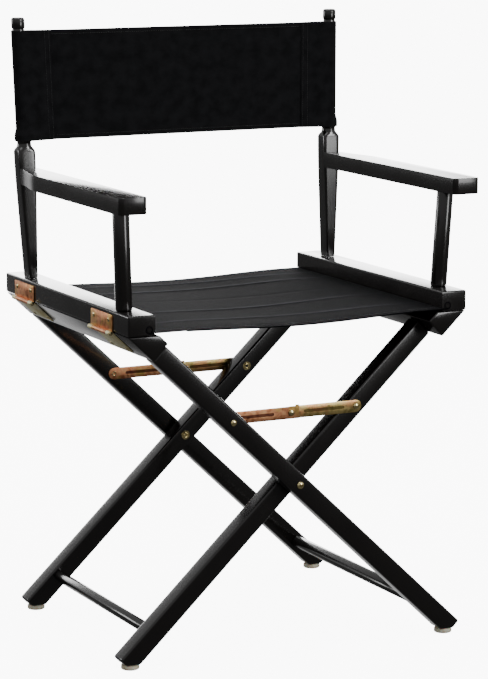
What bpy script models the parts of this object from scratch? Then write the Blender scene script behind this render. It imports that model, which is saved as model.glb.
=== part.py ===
"""Folding director's chair with wooden frame, canvas seat and canvas back.

X runs across the chair, Y from its front to its back and Z up. The floor is at Z 0, the chair is
symmetric about X 0, and the whole chair's length in Y is centred on Y 0. Lengths are in metres.
Left is the -X side and right the +X side, as seen from in front of the chair.

The outer frame is the leg pair that runs from the upper left to the lower right. The inner frame
runs from the upper right to the lower left, between the outer frame's legs. They cross at the
main pivots. Each seat rail is hinged to the leg rail on top of its own frame.
"""
import math

import bmesh
import bpy
from mathutils import Vector

# ---------------------------------------------------------------- driving dimensions
CLEAR = 0.0003                  # gap between pieces that touch
BEYOND = 0.004                  # how far a cutter runs past the piece it cuts

# Seat rails, which carry the seat canvas
SEAT_RAIL_LENGTH = 0.430
SEAT_RAIL_OUTER = 0.2535        # from the middle of the chair to a rail's outer face
SEAT_RAIL_WIDTH = 0.038
SEAT_RAIL_HEIGHT = 0.0275
SEAT_RAIL_TOP = 0.4865
SEAT_RAIL_ROUND = 0.003

# Seat canvas, hemmed round a dowel in a groove of each seat rail
SEAT_CANVAS_THICKNESS = 0.0012
SEAT_CANVAS_SAG = 0.004
SEAT_DOWEL_RADIUS = 0.0035
GROOVE_FROM_INNER_FACE = 0.0085
GROOVE_FROM_BOTTOM = 0.0078
GROOVE_WEB = 0.0015             # wood left between the groove and the post tenons
SLOT_CLEAR = 0.0005             # above and below the canvas in its slot

# Armrests
ARM_RISE = 0.155                # top of the arms above the top of the seat rails
ARM_REACH = 0.0145              # outer side of the arms past the outer side of the seat rails
ARM_WIDTH = 0.040
ARM_THICKNESS = 0.022
ARM_OVERHANG = 0.0075           # past the front of the seat rails
ARM_NECK_LENGTH = 0.090         # stretch in which the outer side curves in to the rear post
ARM_CORNER = 0.007
ARM_ROUND = 0.0028
ARM_DOWEL_RADIUS = 0.0045
ARM_DOWEL_LENGTH = 0.012

# Posts
TENON_RADIUS = 0.006
ARM_TENON_DEPTH = 0.014
FRONT_POST_RADIUS = 0.01125
FRONT_POST_FROM_OUTER = 0.0156  # post axis to the seat rail's outer face, at the rail's top
FRONT_POST_FROM_END = 0.0495    # post axis to the seat rail's front end
FRONT_POST_LEAN_OUT = 0.045
FRONT_POST_LEAN_BACK = -0.040
REAR_POST_FROM_OUTER = 0.0160
REAR_POST_FROM_END = 0.0560
REAR_POST_LEAN_OUT = 0.024
REAR_POST_LEAN_BACK = 0.042
REAR_POST_WIDTH = 0.026         # at its shoulder
REAR_POST_FOOT_WIDTH = 0.0130
REAR_POST_DEPTH = 0.0240
REAR_POST_SHOULDER = 0.0240     # above the armrest
REAR_POST_NECK_RADIUS = 0.0103
REAR_POST_BEAD_RADIUS = 0.0115
REAR_POST_DOWEL_RADIUS = 0.0090
BEAD_LENGTH = 0.0045            # under the canvas sleeve, which rests on it
KNOB_RADIUS = 0.0095
KNOB_RISE = 0.0185              # above the back canvas

# Back canvas, a panel with a sleeve round the top of each rear post
BACK_CANVAS_RISE = 0.0375       # its lower edge above the arms
BACK_CANVAS_HEIGHT = 0.1535
BACK_CANVAS_THICKNESS = 0.0012
BACK_SEAM_FROM_POST = 0.047

# Leg frames
PIVOT_HEIGHT = 0.237
LEG_WIDTH = 0.027               # along Y
LEG_DEPTH = 0.027
LEG_ROUND = 0.003
LEG_INSET = 0.004               # outer legs, behind the ends of the seat rails
LEG_FACET = 0.020               # level facet on the foot
LEG_TENON_RADIUS = 0.006
LEG_TENON_LENGTH = 0.022
LEG_RAIL_INSET = 0.001
LEG_RAIL_DEPTH = 0.031
LEG_RAIL_FACE = 0.050           # width of the face that the hinges are on
LEG_RAIL_GAP = 0.0005           # under the seat rail when the chair is open
LEG_RAIL_ROUND = 0.0022
STRETCHER_HEIGHT = 0.047
STRETCHER_WIDTH = 0.015         # along the leg
STRETCHER_DEPTH = 0.018         # across the leg
STRETCHER_CHAMFER = 0.001       # at its shoulders
STRETCHER_TENON_RADIUS = 0.0055
STRETCHER_TENON_LENGTH = 0.014
GLIDE_RADIUS = 0.0125
GLIDE_HEIGHT = 0.0070
GLIDE_CHAMFER = 0.0015
GLIDE_SPIGOT_RADIUS = 0.0025
GLIDE_SPIGOT_LENGTH = 0.010

# Braces, a two-link toggle between the legs at the front and at the rear
LINK_THICKNESS = 0.0014
LINK_WIDTH = 0.017
LINK_END = 0.012                # square end of an outer link, past the middle rivet
LINK_GROOVE_WIDTH = 0.0038
LINK_GROOVE_DEPTH = 0.00045
LINK_GROOVE_INSET = 0.022       # from the rivets at both ends
BRACE_FROM_PIVOT = 0.138        # along the leg
STOP_TAB_THICKNESS = 0.0012
STOP_TAB_FROM_RIVET = 0.0075    # past the middle rivet, so that the inner link passes it
BRACE_RIVET_RADIUS = 0.0020
BRACE_HEAD_RADIUS = 0.0045
BRACE_HEAD_HEIGHT = 0.0024
TAIL_HEIGHT = 0.0010            # of a rivet's peened end
TAIL_CHAMFER = 0.0008
HIDDEN_TAIL_RADIUS = 0.0036     # between the legs
SEEN_TAIL_RADIUS = 0.0042       # on the inner side of an inner leg

# Main pivots
PIVOT_RADIUS = 0.0030
PIVOT_HEAD_RADIUS = 0.0052
PIVOT_HEAD_HEIGHT = 0.0028
PEEN_RADIUS = 0.0042
PEEN_HEIGHT = 0.0016
SPACER_RADIUS = 0.0100
TAIL_WASHER_RADIUS = 0.0066
TAIL_WASHER_THICKNESS = 0.0011

# Hinges
HINGE_LENGTH = 0.070
HINGE_FROM_FRONT = 0.050        # from the ends of the seat rails
HINGE_FROM_REAR = 0.038
HINGE_PIN_RADIUS = 0.00145
HINGE_BORE_RADIUS = 0.0018
PIN_HEAD_RADIUS = 0.0027
PIN_HEAD_HEIGHT = 0.0007
LEAF_THICKNESS = 0.0013
LEAF_FROM_RAIL_TOP = 0.005
LOWER_LEAF_LENGTH = 0.043
END_KNUCKLE = 0.012
KNUCKLE_CLEAR = 0.0008          # round a knuckle, in the other leaf's notch
SCREW_FROM_LEAF_END = 0.0105
SCREW_FROM_LEAF_EDGE = 0.0080
SCREW_RADIUS = 0.0013
SCREW_HEAD_RADIUS = 0.0032
SCREW_HEAD_HEIGHT = 0.0013
SCREW_LENGTH = 0.009            # in the wood
SCREW_POINT = 0.0025

# A rolled hem or hinge leaf
ROLL_ANGLE = math.radians(292)
ROLL_STEPS = 11

# Folding: the seat rails come together until this is left between them
FOLDED_GAP = 0.060

# ---------------------------------------------------------------- worked out from them
MIDDLE_Y = ARM_OVERHANG / 2
SEAT_RAIL_BOTTOM = SEAT_RAIL_TOP - SEAT_RAIL_HEIGHT
SEAT_RAIL_INNER = SEAT_RAIL_OUTER - SEAT_RAIL_WIDTH
HALF_LENGTH = SEAT_RAIL_LENGTH / 2

ARM_TOP = SEAT_RAIL_TOP + ARM_RISE
ARM_OUTER = SEAT_RAIL_OUTER + ARM_REACH
BACK_CANVAS_BOTTOM = ARM_TOP + BACK_CANVAS_RISE
BACK_CANVAS_TOP = BACK_CANVAS_BOTTOM + BACK_CANVAS_HEIGHT
OVERALL_HEIGHT = BACK_CANVAS_TOP + KNOB_RISE

HEM_INNER = SEAT_DOWEL_RADIUS + CLEAR
HEM_OUTER = HEM_INNER + SEAT_CANVAS_THICKNESS
GROOVE_RADIUS = HEM_OUTER + CLEAR
GROOVE_X = SEAT_RAIL_INNER + GROOVE_FROM_INNER_FACE
GROOVE_Z = SEAT_RAIL_BOTTOM + GROOVE_FROM_BOTTOM
RAIL_TENON_DEPTH = SEAT_RAIL_HEIGHT - GROOVE_FROM_BOTTOM - GROOVE_RADIUS - GROOVE_WEB

# The leg rail's hinge face starts at the seat rail's lower outer edge and is flush with the leg's
# lower side, which settles how steep the legs are.
CORNER_Z = SEAT_RAIL_BOTTOM - LEG_RAIL_GAP
CORNER_REACH = math.hypot(SEAT_RAIL_OUTER, CORNER_Z - PIVOT_HEIGHT)
LEG_ANGLE = (math.atan2(CORNER_Z - PIVOT_HEIGHT, SEAT_RAIL_OUTER)
             + math.asin(LEG_DEPTH / 2 / CORNER_REACH))
LEG_COS, LEG_SIN = math.cos(LEG_ANGLE), math.sin(LEG_ANGLE)
CORNER_ALONG = -CORNER_REACH * math.cos(math.asin(LEG_DEPTH / 2 / CORNER_REACH))
LEG_TOP_ALONG = CORNER_ALONG + LEG_RAIL_FACE + CLEAR

LEG_GAP = 3 * CLEAR + 2 * LINK_THICKNESS
OUTER_LEG_Y = HALF_LENGTH - LEG_INSET - LEG_WIDTH / 2
INNER_LEG_Y = OUTER_LEG_Y - LEG_WIDTH - LEG_GAP

BARREL_RADIUS = HINGE_BORE_RADIUS + LEAF_THICKNESS
PIN_OFFSET = BARREL_RADIUS + CLEAR
HINGE_X = SEAT_RAIL_OUTER + PIN_OFFSET
HINGE_Z = CORNER_Z - PIN_OFFSET * (1 - LEG_SIN) / LEG_COS
HINGE_REACH = math.hypot(HINGE_X, HINGE_Z - PIVOT_HEIGHT)
FOLDED_HINGE_X = FOLDED_GAP / 2 + SEAT_RAIL_WIDTH + PIN_OFFSET
FRAME_SWING = math.asin(HINGE_X / HINGE_REACH) - math.asin(FOLDED_HINGE_X / HINGE_REACH)
FOLD_RANGE = 2 * FRAME_SWING

BRACE_X = BRACE_FROM_PIVOT * LEG_COS
BRACE_Z = PIVOT_HEIGHT + BRACE_FROM_PIVOT * LEG_SIN
LINK_RISE = math.acos(BRACE_FROM_PIVOT * math.cos(LEG_ANGLE + FRAME_SWING) / BRACE_X)
LINK_RATIO = (LINK_RISE + FRAME_SWING) / FOLD_RANGE

# ---------------------------------------------------------------- bodies
# Each moving body hangs from an empty on its joint's axis: parent, place, direction of the axis
# along Y, and how far the body turns for each radian of the inner frame's turn.
BODIES = {
    "outer_frame": (None, (0, MIDDLE_Y, PIVOT_HEIGHT), 0, 0),
    "inner_frame": ("outer_frame", (0, MIDDLE_Y, PIVOT_HEIGHT), -1, 1),
    "left_side": ("outer_frame", (-HINGE_X, MIDDLE_Y, HINGE_Z), -1, 0.5),
    "right_side": ("inner_frame", (HINGE_X, MIDDLE_Y, HINGE_Z), 1, 0.5),
    "front_brace_outer": ("outer_frame", (-BRACE_X, MIDDLE_Y - OUTER_LEG_Y, BRACE_Z), -1, LINK_RATIO),
    "front_brace_inner": ("inner_frame", (BRACE_X, MIDDLE_Y - INNER_LEG_Y, BRACE_Z), 1, LINK_RATIO),
    "rear_brace_outer": ("outer_frame", (-BRACE_X, MIDDLE_Y + OUTER_LEG_Y, BRACE_Z), -1, LINK_RATIO),
    "rear_brace_inner": ("inner_frame", (BRACE_X, MIDDLE_Y + INNER_LEG_Y, BRACE_Z), 1, LINK_RATIO),
}
SIDES = (("left", -1), ("right", 1))
ENDS = (("front", -1), ("rear", 1))
FRAMES = (("outer", 1, OUTER_LEG_Y), ("inner", -1, INNER_LEG_Y))

FINISHES = {                    # colour, roughness, metallic
    "lacquer": ((0.010, 0.010, 0.011), 0.28, 0.0),
    "canvas": ((0.008, 0.008, 0.010), 0.90, 0.0),
    "nylon": ((0.72, 0.68, 0.56), 0.40, 0.0),
    "birch": ((0.60, 0.44, 0.27), 0.60, 0.0),
    "copper_zinc": ((0.45, 0.17, 0.11), 0.38, 1.0),
    "olive_zinc": ((0.36, 0.29, 0.10), 0.38, 1.0),
    "pale_zinc": ((0.62, 0.57, 0.38), 0.36, 1.0),
    "brass": ((0.70, 0.54, 0.25), 0.25, 1.0),
}


def clear_scene():
    for obj in list(bpy.data.objects):
        bpy.data.objects.remove(obj, do_unlink=True)


def make_empties():
    empties = {}
    for name, (parent, origin, direction, ratio) in BODIES.items():
        empty = bpy.data.objects.new(name + "_axis", None)
        bpy.context.collection.objects.link(empty)
        empty.location = origin
        if parent:
            empty.parent = empties[parent]
            empty.location = Vector(origin) - Vector(BODIES[parent][1])
            empty["joint_axis"] = (0.0, float(direction), 0.0)
            empty["turn_when_folded"] = ratio * FOLD_RANGE
        empties[name] = empty
    return empties


# ---------------------------------------------------------------- shapes
def loft(rings, bm=None):
    """Close a solid through rings of points that follow one another."""
    bm = bm or bmesh.new()
    loops = [[bm.verts.new(point) for point in ring] for ring in rings]
    faces = [bm.faces.new(loops[0]), bm.faces.new(loops[-1])]
    for near, far in zip(loops, loops[1:]):
        for i in range(len(near)):
            j = (i + 1) % len(near)
            faces.append(bm.faces.new((near[i], near[j], far[j], far[i])))
    bmesh.ops.recalc_face_normals(bm, faces=faces)
    return bm


def prism(outline, start, end, bm=None):
    """Run an outline of (x, z) points along Y."""
    return loft([[(x, y, z) for x, z in outline] for y in (start, end)], bm)


def sides_for(radius):
    """How many sides a round piece or hole gets."""
    return 8 if radius < 0.0019 else 10 if radius < 0.0028 else 12 if radius < 0.008 else 16


def turned(start, direction, profile, bm=None):
    """Turn a profile of (distance, radius) about a line."""
    sides = sides_for(max(radius for _, radius in profile))
    axis = Vector(direction).normalized()
    across = axis.orthogonal().normalized()
    up = axis.cross(across)
    turns = [2 * math.pi * i / sides for i in range(sides)]
    rings = []
    for distance, radius in profile:
        centre = Vector(start) + axis * distance
        rings.append([centre + radius * (math.cos(t) * across + math.sin(t) * up) for t in turns])
    return loft(rings, bm)


def rod(start, end, radius, bm=None):
    direction = Vector(end) - Vector(start)
    return turned(start, direction, ((0, radius), (direction.length, radius)), bm)


def dome(base, radius, height, steps=3):
    """Profile of a domed head that grows from its base."""
    angles = [math.pi / 2 * i / (steps + 0.4) for i in range(steps + 1)]
    return [(base + height * math.sin(t), radius * math.cos(t)) for t in angles]


def arc(centre, radius, start, end, steps):
    turns = [start + (end - start) * i / steps for i in range(steps + 1)]
    return [(centre[0] + radius * math.cos(t), centre[1] + radius * math.sin(t)) for t in turns]


def rolled_sheet(centre, inner, outer, wood_angle, turn, length):
    """Outline of a sheet whose end is rolled round a rod.

    The sheet touches the roll on the side that wood_angle points to, and leaves it a quarter
    turn further on, in the direction of turn. The roll goes the other way round.
    """
    roll_end = wood_angle - turn * ROLL_ANGLE
    away = wood_angle + turn * math.pi / 2
    sheet = Vector((math.cos(away), math.sin(away))) * length
    outside = arc(centre, outer, wood_angle, roll_end, ROLL_STEPS)
    inside = arc(centre, inner, roll_end, wood_angle, ROLL_STEPS)
    tip = [tuple(Vector(inside[-1]) + sheet), tuple(Vector(outside[0]) + sheet)]
    return outside + inside + tip


def oval(centre, half_x, half_y, power, z, count=16):
    """Level ring between an ellipse, at power 2, and a rectangle, at a high power."""
    ring = []
    for i in range(count):
        turn = 2 * math.pi * (i + 0.5) / count
        c, s = math.cos(turn), math.sin(turn)
        x = half_x * math.copysign(abs(c) ** (2 / power), c)
        y = half_y * math.copysign(abs(s) ** (2 / power), s)
        ring.append((centre[0] + x, centre[1] + y, z))
    return ring


def frame_point(side, along, across):
    """A point of a leg frame: along the leg, down from the pivot, and across it, upwards."""
    x = along * LEG_COS + across * LEG_SIN
    return side * x, PIVOT_HEIGHT - along * LEG_SIN + across * LEG_COS


def mirrored(outline, side):
    return [(side * x, z) for x, z in outline]


# ---------------------------------------------------------------- pieces
class Chair:
    def __init__(self):
        clear_scene()
        self.empties = make_empties()

    def link(self, name, body, bm):
        mesh = bpy.data.meshes.new(name)
        origin = Vector(BODIES[body][1])
        bmesh.ops.translate(bm, verts=bm.verts, vec=-origin)
        bm.to_mesh(mesh)
        bm.free()
        obj = bpy.data.objects.new(name, mesh)
        bpy.context.collection.objects.link(obj)
        obj.parent = self.empties[body]
        return obj

    def boolean(self, obj, body, bm, operation):
        tool = self.link(f"{obj.name}_{operation.lower()}", body, bm)
        tool.display_type = "WIRE"
        tool.hide_render = True
        modifier = obj.modifiers.new(operation.lower(), "BOOLEAN")
        modifier.operation = operation
        modifier.solver = "EXACT"
        modifier.object = tool

    def piece(self, name, body, finish, bm, edge=0.0, add=None, cut=None, smooth=False):
        obj = self.link(name, body, bm)
        colour, roughness, metallic = FINISHES[finish]
        material = bpy.data.materials.new(f"{name}_{finish}")
        material.use_nodes = True
        shader = material.node_tree.nodes["Principled BSDF"]
        shader.inputs["Base Color"].default_value = (*colour, 1)
        shader.inputs["Roughness"].default_value = roughness
        shader.inputs["Metallic"].default_value = metallic
        obj.data.materials.append(material)
        if smooth:
            obj.data.shade_smooth()
            obj.data.set_sharp_from_angle(angle=math.radians(35))
        if edge:
            bevel = obj.modifiers.new("rounded edges", "BEVEL")
            bevel.width = edge
            bevel.segments = 2
            bevel.limit_method = "ANGLE"
            bevel.angle_limit = math.radians(40)
        if add:
            self.boolean(obj, body, add, "UNION")
        if cut:
            self.boolean(obj, body, cut, "DIFFERENCE")
        return obj


# ---------------------------------------------------------------- sides: rails, posts, arms
def front_post_axis(side, z):
    rise = z - SEAT_RAIL_TOP
    x = SEAT_RAIL_OUTER - FRONT_POST_FROM_OUTER + rise * FRONT_POST_LEAN_OUT
    y = MIDDLE_Y - HALF_LENGTH + FRONT_POST_FROM_END + rise * FRONT_POST_LEAN_BACK
    return side * x, y


def rear_post_axis(side, z):
    rise = z - SEAT_RAIL_TOP
    x = SEAT_RAIL_OUTER - REAR_POST_FROM_OUTER + rise * REAR_POST_LEAN_OUT
    y = MIDDLE_Y + HALF_LENGTH - REAR_POST_FROM_END + rise * REAR_POST_LEAN_BACK
    return side * x, y


def leaning_rings(axis, side, profile):
    """Level rings round a leaning axis, for (z, half_x, half_y, power) entries."""
    return [oval(axis(side, z), half_x, half_y, power, z) for z, half_x, half_y, power in profile]


def leaning_hole(axis, side, low, high, radius, bm):
    rings = [oval(axis(side, z), radius, radius, 2, z) for z in (low, high)]
    return loft(rings, bm)


def hinge_spans():
    front = MIDDLE_Y - HALF_LENGTH + HINGE_FROM_FRONT
    rear = MIDDLE_Y + HALF_LENGTH - HINGE_FROM_REAR
    return {"front": (front, front + HINGE_LENGTH), "rear": (rear - HINGE_LENGTH, rear)}


def leaf_screws():
    """Y and Z of the two screws of each upper leaf, by the hinge's end of the chair."""
    z = SEAT_RAIL_TOP - LEAF_FROM_RAIL_TOP - SCREW_FROM_LEAF_EDGE
    spots = {}
    for end, (start, stop) in hinge_spans().items():
        spots[end] = [(start + SCREW_FROM_LEAF_END, z), (stop - SCREW_FROM_LEAF_END, z)]
    return spots


def seat_rail(chair, name, side):
    low = (SEAT_RAIL_INNER, MIDDLE_Y - HALF_LENGTH, SEAT_RAIL_BOTTOM)
    high = (SEAT_RAIL_OUTER, MIDDLE_Y + HALF_LENGTH, SEAT_RAIL_TOP)
    outline = mirrored(((low[0], low[2]), (high[0], low[2]), (high[0], high[2]),
                        (low[0], high[2])), side)
    cut = rod((side * GROOVE_X, low[1] - BEYOND, GROOVE_Z),
              (side * GROOVE_X, high[1] + BEYOND, GROOVE_Z), GROOVE_RADIUS)
    slot_middle = GROOVE_Z - HEM_OUTER + SEAT_CANVAS_THICKNESS / 2
    slot_half = SEAT_CANVAS_THICKNESS / 2 + SLOT_CLEAR
    slot = mirrored(((low[0] - BEYOND, slot_middle - slot_half),
                     (GROOVE_X, slot_middle - slot_half),
                     (GROOVE_X, slot_middle + slot_half),
                     (low[0] - BEYOND, slot_middle + slot_half)), side)
    slot_cut = prism(slot, low[1] - BEYOND, high[1] + BEYOND)
    holes = bmesh.new()
    for axis in (front_post_axis, rear_post_axis):
        leaning_hole(axis, side, SEAT_RAIL_TOP - RAIL_TENON_DEPTH, SEAT_RAIL_TOP + BEYOND,
                     TENON_RADIUS + CLEAR, holes)
    for spots in leaf_screws().values():
        for y, z in spots:
            rod((side * (high[0] + BEYOND), y, z),
                (side * (high[0] - SCREW_LENGTH - CLEAR), y, z), SCREW_RADIUS + CLEAR, holes)
    rail = chair.piece(f"{name}_seat_rail", f"{name}_side", "lacquer",
                       prism(outline, low[1], high[1]), edge=SEAT_RAIL_ROUND, cut=cut)
    chair.boolean(rail, f"{name}_side", slot_cut, "DIFFERENCE")
    chair.boolean(rail, f"{name}_side", holes, "DIFFERENCE")


def front_post(chair, name, side):
    base = SEAT_RAIL_TOP + CLEAR
    top = ARM_TOP - ARM_THICKNESS - CLEAR
    radius = FRONT_POST_RADIUS
    profile = [(SEAT_RAIL_TOP - RAIL_TENON_DEPTH + CLEAR, TENON_RADIUS), (base, TENON_RADIUS),
               (base, radius - 0.0012), (base + 0.0015, radius - 0.0003), (base + 0.004, radius),
               (top, radius), (top, TENON_RADIUS), (top + ARM_TENON_DEPTH - CLEAR, TENON_RADIUS)]
    rings = leaning_rings(front_post_axis, side, [(z, r, r, 2) for z, r in profile])
    chair.piece(f"{name}_front_post", f"{name}_side", "lacquer", loft(rings), smooth=True)


def rear_post(chair, name, side):
    base = SEAT_RAIL_TOP + CLEAR
    shoulder = ARM_TOP + REAR_POST_SHOULDER
    depth, width = REAR_POST_DEPTH / 2, REAR_POST_WIDTH / 2
    neck, bead, dowel = REAR_POST_NECK_RADIUS, REAR_POST_BEAD_RADIUS, REAR_POST_DOWEL_RADIUS
    bottom, top = BACK_CANVAS_BOTTOM, BACK_CANVAS_TOP
    # Tenon, then the board, its rounded shoulder, the neck, the bead, the dowel and the knob
    profile = [
        (SEAT_RAIL_TOP - RAIL_TENON_DEPTH + CLEAR, TENON_RADIUS, TENON_RADIUS, 2),
        (base, TENON_RADIUS, TENON_RADIUS, 2),
        (base, REAR_POST_FOOT_WIDTH / 2, depth, 6),
        (ARM_TOP - ARM_THICKNESS, width - 0.001, depth, 7),
        (shoulder, width, depth, 6),
        (shoulder + 0.0030, width - 0.0009, depth - 0.0009, 3.4),
        (shoulder + 0.0055, neck + 0.0004, neck + 0.0004, 2.2),
        (shoulder + 0.0070, neck, neck, 2),
        (bottom - 0.0020, neck - 0.0006, neck - 0.0006, 2),
        (bottom + 0.0005, bead, bead, 2),
        (bottom + BEAD_LENGTH, bead, bead, 2),
        (bottom + BEAD_LENGTH + 0.0040, dowel, dowel, 2),
        (top + 0.0008, dowel, dowel, 2),
        (top + 0.0022, dowel - 0.0006, dowel - 0.0006, 2),
        (top + 0.0042, KNOB_RADIUS, KNOB_RADIUS, 2),
        (OVERALL_HEIGHT - 0.0025, KNOB_RADIUS, KNOB_RADIUS, 2),
        (OVERALL_HEIGHT - 0.0008, KNOB_RADIUS - 0.0009, KNOB_RADIUS - 0.0009, 2),
        (OVERALL_HEIGHT, KNOB_RADIUS - 0.0028, KNOB_RADIUS - 0.0028, 2),
    ]
    rings = leaning_rings(rear_post_axis, side, profile)
    z = ARM_TOP - ARM_THICKNESS / 2
    x, y = rear_post_axis(side, z)
    cut = rod((x, y - depth - BEYOND, z), (x, y - depth + ARM_DOWEL_LENGTH + 2 * CLEAR, z),
              ARM_DOWEL_RADIUS + CLEAR)
    chair.piece(f"{name}_rear_post", f"{name}_side", "lacquer", loft(rings), cut=cut, smooth=True)


def arm_outline(side, z):
    """Plan of an armrest at one height, from its front end to the rear post's face."""
    front = MIDDLE_Y - HALF_LENGTH - ARM_OVERHANG
    post_x, post_y = rear_post_axis(1, z)
    rear = post_y - REAR_POST_DEPTH / 2 - CLEAR
    neck_x = post_x + REAR_POST_WIDTH / 2
    inner = ARM_OUTER - ARM_WIDTH
    r = ARM_CORNER
    points = arc((inner + r, front + r), r, -math.pi, -math.pi / 2, 3)
    points += arc((ARM_OUTER - r, front + r), r, -math.pi / 2, 0, 3)
    steps = 8
    for i in range(steps + 1):
        t = i / steps
        ease = t * t * (3 - 2 * t)
        points.append((ARM_OUTER + (neck_x - ARM_OUTER) * ease,
                       rear - ARM_NECK_LENGTH * (1 - t)))
    points.append((inner, rear))
    return [(side * x, y, z) for x, y in points]


def armrest(chair, name, side):
    rings = [arm_outline(side, z) for z in (ARM_TOP - ARM_THICKNESS, ARM_TOP)]
    z = ARM_TOP - ARM_THICKNESS / 2
    x, y = rear_post_axis(side, z)
    face = y - REAR_POST_DEPTH / 2
    dowel = rod((x, face - ARM_DOWEL_LENGTH, z), (x, face + ARM_DOWEL_LENGTH, z),
                ARM_DOWEL_RADIUS)
    hole = leaning_hole(front_post_axis, side, ARM_TOP - ARM_THICKNESS - BEYOND,
                        ARM_TOP - ARM_THICKNESS + ARM_TENON_DEPTH, TENON_RADIUS + CLEAR, None)
    chair.piece(f"{name}_armrest", f"{name}_side", "lacquer", loft(rings), edge=ARM_ROUND,
                add=dowel, cut=hole)


# ---------------------------------------------------------------- canvas
def seat_hem(side):
    """Rolled edge of the seat canvas, from the sheet's upper face round to its lower face."""
    centre = (GROOVE_X, GROOVE_Z)
    down = -math.pi / 2
    outline = rolled_sheet(centre, HEM_INNER, HEM_OUTER, down, -1, 0.0)[:-2]
    return mirrored(outline, side)


def seat_canvas(chair):
    """One sheet with both hems: right hem, upper face to the left, left hem, lower face back."""
    upper = GROOVE_Z - HEM_INNER
    reach = GROOVE_X
    steps = 9
    across = [reach * (1 - 2 * (i + 1) / (steps + 1)) for i in range(steps)]

    def sag(x):
        return SEAT_CANVAS_SAG * (1 - (x / reach) ** 2)

    top = [(x, upper - sag(x)) for x in across]
    low = [(x, upper - SEAT_CANVAS_THICKNESS - sag(x)) for x in reversed(across)]
    outline = seat_hem(1) + top + list(reversed(seat_hem(-1))) + low
    start, end = MIDDLE_Y - HALF_LENGTH, MIDDLE_Y + HALF_LENGTH
    chair.piece("seat_canvas", "left_side", "canvas", prism(outline, start, end), smooth=True)
    for name, side in SIDES:
        dowel = rod((side * GROOVE_X, start, GROOVE_Z), (side * GROOVE_X, end, GROOVE_Z),
                    SEAT_DOWEL_RADIUS)
        chair.piece(f"{name}_seat_dowel", f"{name}_side", "birch", dowel, smooth=True)


def back_outline(z, sleeve):
    """Plan of the back canvas at one height: two sleeves joined by the panel."""
    x, y = rear_post_axis(1, z)
    half = BACK_CANVAS_THICKNESS
    opening = math.acos((sleeve - half) / BACK_SEAM_FROM_POST)
    left = arc((-x, y), sleeve, opening, 2 * math.pi - opening, 12)
    right = arc((x, y), sleeve, math.pi + opening, 3 * math.pi - opening, 12)
    seam = x - BACK_SEAM_FROM_POST
    points = left + [(-seam, y - half), (seam, y - half)] + right
    points += [(seam, y + half), (-seam, y + half)]
    return [(px, py, z) for px, py in points]


def back_canvas(chair):
    bottom, top = BACK_CANVAS_BOTTOM, BACK_CANVAS_TOP
    bead_end = bottom + BEAD_LENGTH
    levels = ((bottom, REAR_POST_BEAD_RADIUS), (bead_end + 0.0015, REAR_POST_BEAD_RADIUS),
              (bead_end + 0.0075, REAR_POST_DOWEL_RADIUS), (top, REAR_POST_DOWEL_RADIUS))
    wall = BACK_CANVAS_THICKNESS + CLEAR
    rings = [back_outline(z, radius + wall) for z, radius in levels]
    tunnels = bmesh.new()
    for _, side in SIDES:
        profile = [(bottom - BEYOND, REAR_POST_BEAD_RADIUS),
                   (bead_end + 0.0015, REAR_POST_BEAD_RADIUS),
                   (bead_end + 0.0055, REAR_POST_DOWEL_RADIUS),
                   (top + BEYOND, REAR_POST_DOWEL_RADIUS)]
        loft(leaning_rings(rear_post_axis, side,
                           [(z, r + CLEAR, r + CLEAR, 2) for z, r in profile]), tunnels)
    chair.piece("back_canvas", "left_side", "canvas", loft(rings), cut=tunnels, smooth=True)


# ---------------------------------------------------------------- leg frames
def leg_rail(chair, frame, side, name):
    low = -LEG_DEPTH / 2
    high = low + LEG_RAIL_DEPTH
    face_end = CORNER_ALONG + LEG_RAIL_FACE
    mitre = CORNER_ALONG + LEG_RAIL_DEPTH * LEG_COS / LEG_SIN
    corners = ((CORNER_ALONG, low), (face_end, low), (face_end, high), (mitre, high))
    outline = [frame_point(side, *corner) for corner in corners]
    half = HALF_LENGTH - LEG_RAIL_INSET
    mortises = bmesh.new()
    leg_y = OUTER_LEG_Y if frame == "outer" else INNER_LEG_Y
    for _, end in ENDS:
        y = MIDDLE_Y + end * leg_y
        near = frame_point(side, face_end + BEYOND, 0)
        far = frame_point(side, face_end - LEG_TENON_LENGTH - CLEAR, 0)
        rod((near[0], y, near[1]), (far[0], y, far[1]), LEG_TENON_RADIUS + CLEAR, mortises)
    chair.piece(f"{name}_leg_rail", f"{frame}_frame", "lacquer",
                prism(outline, MIDDLE_Y - half, MIDDLE_Y + half), edge=LEG_RAIL_ROUND,
                cut=mortises)


def facet_along(across):
    """How far down the leg its level facet is, at a distance across the leg."""
    return (PIVOT_HEIGHT - GLIDE_HEIGHT + across * LEG_COS) / LEG_SIN


def glide_x(side):
    low = -LEG_DEPTH / 2
    return frame_point(side, facet_along(low), low)[0] + side * LEG_FACET / 2


def stretcher_along():
    return (PIVOT_HEIGHT - STRETCHER_HEIGHT) / LEG_SIN


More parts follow.
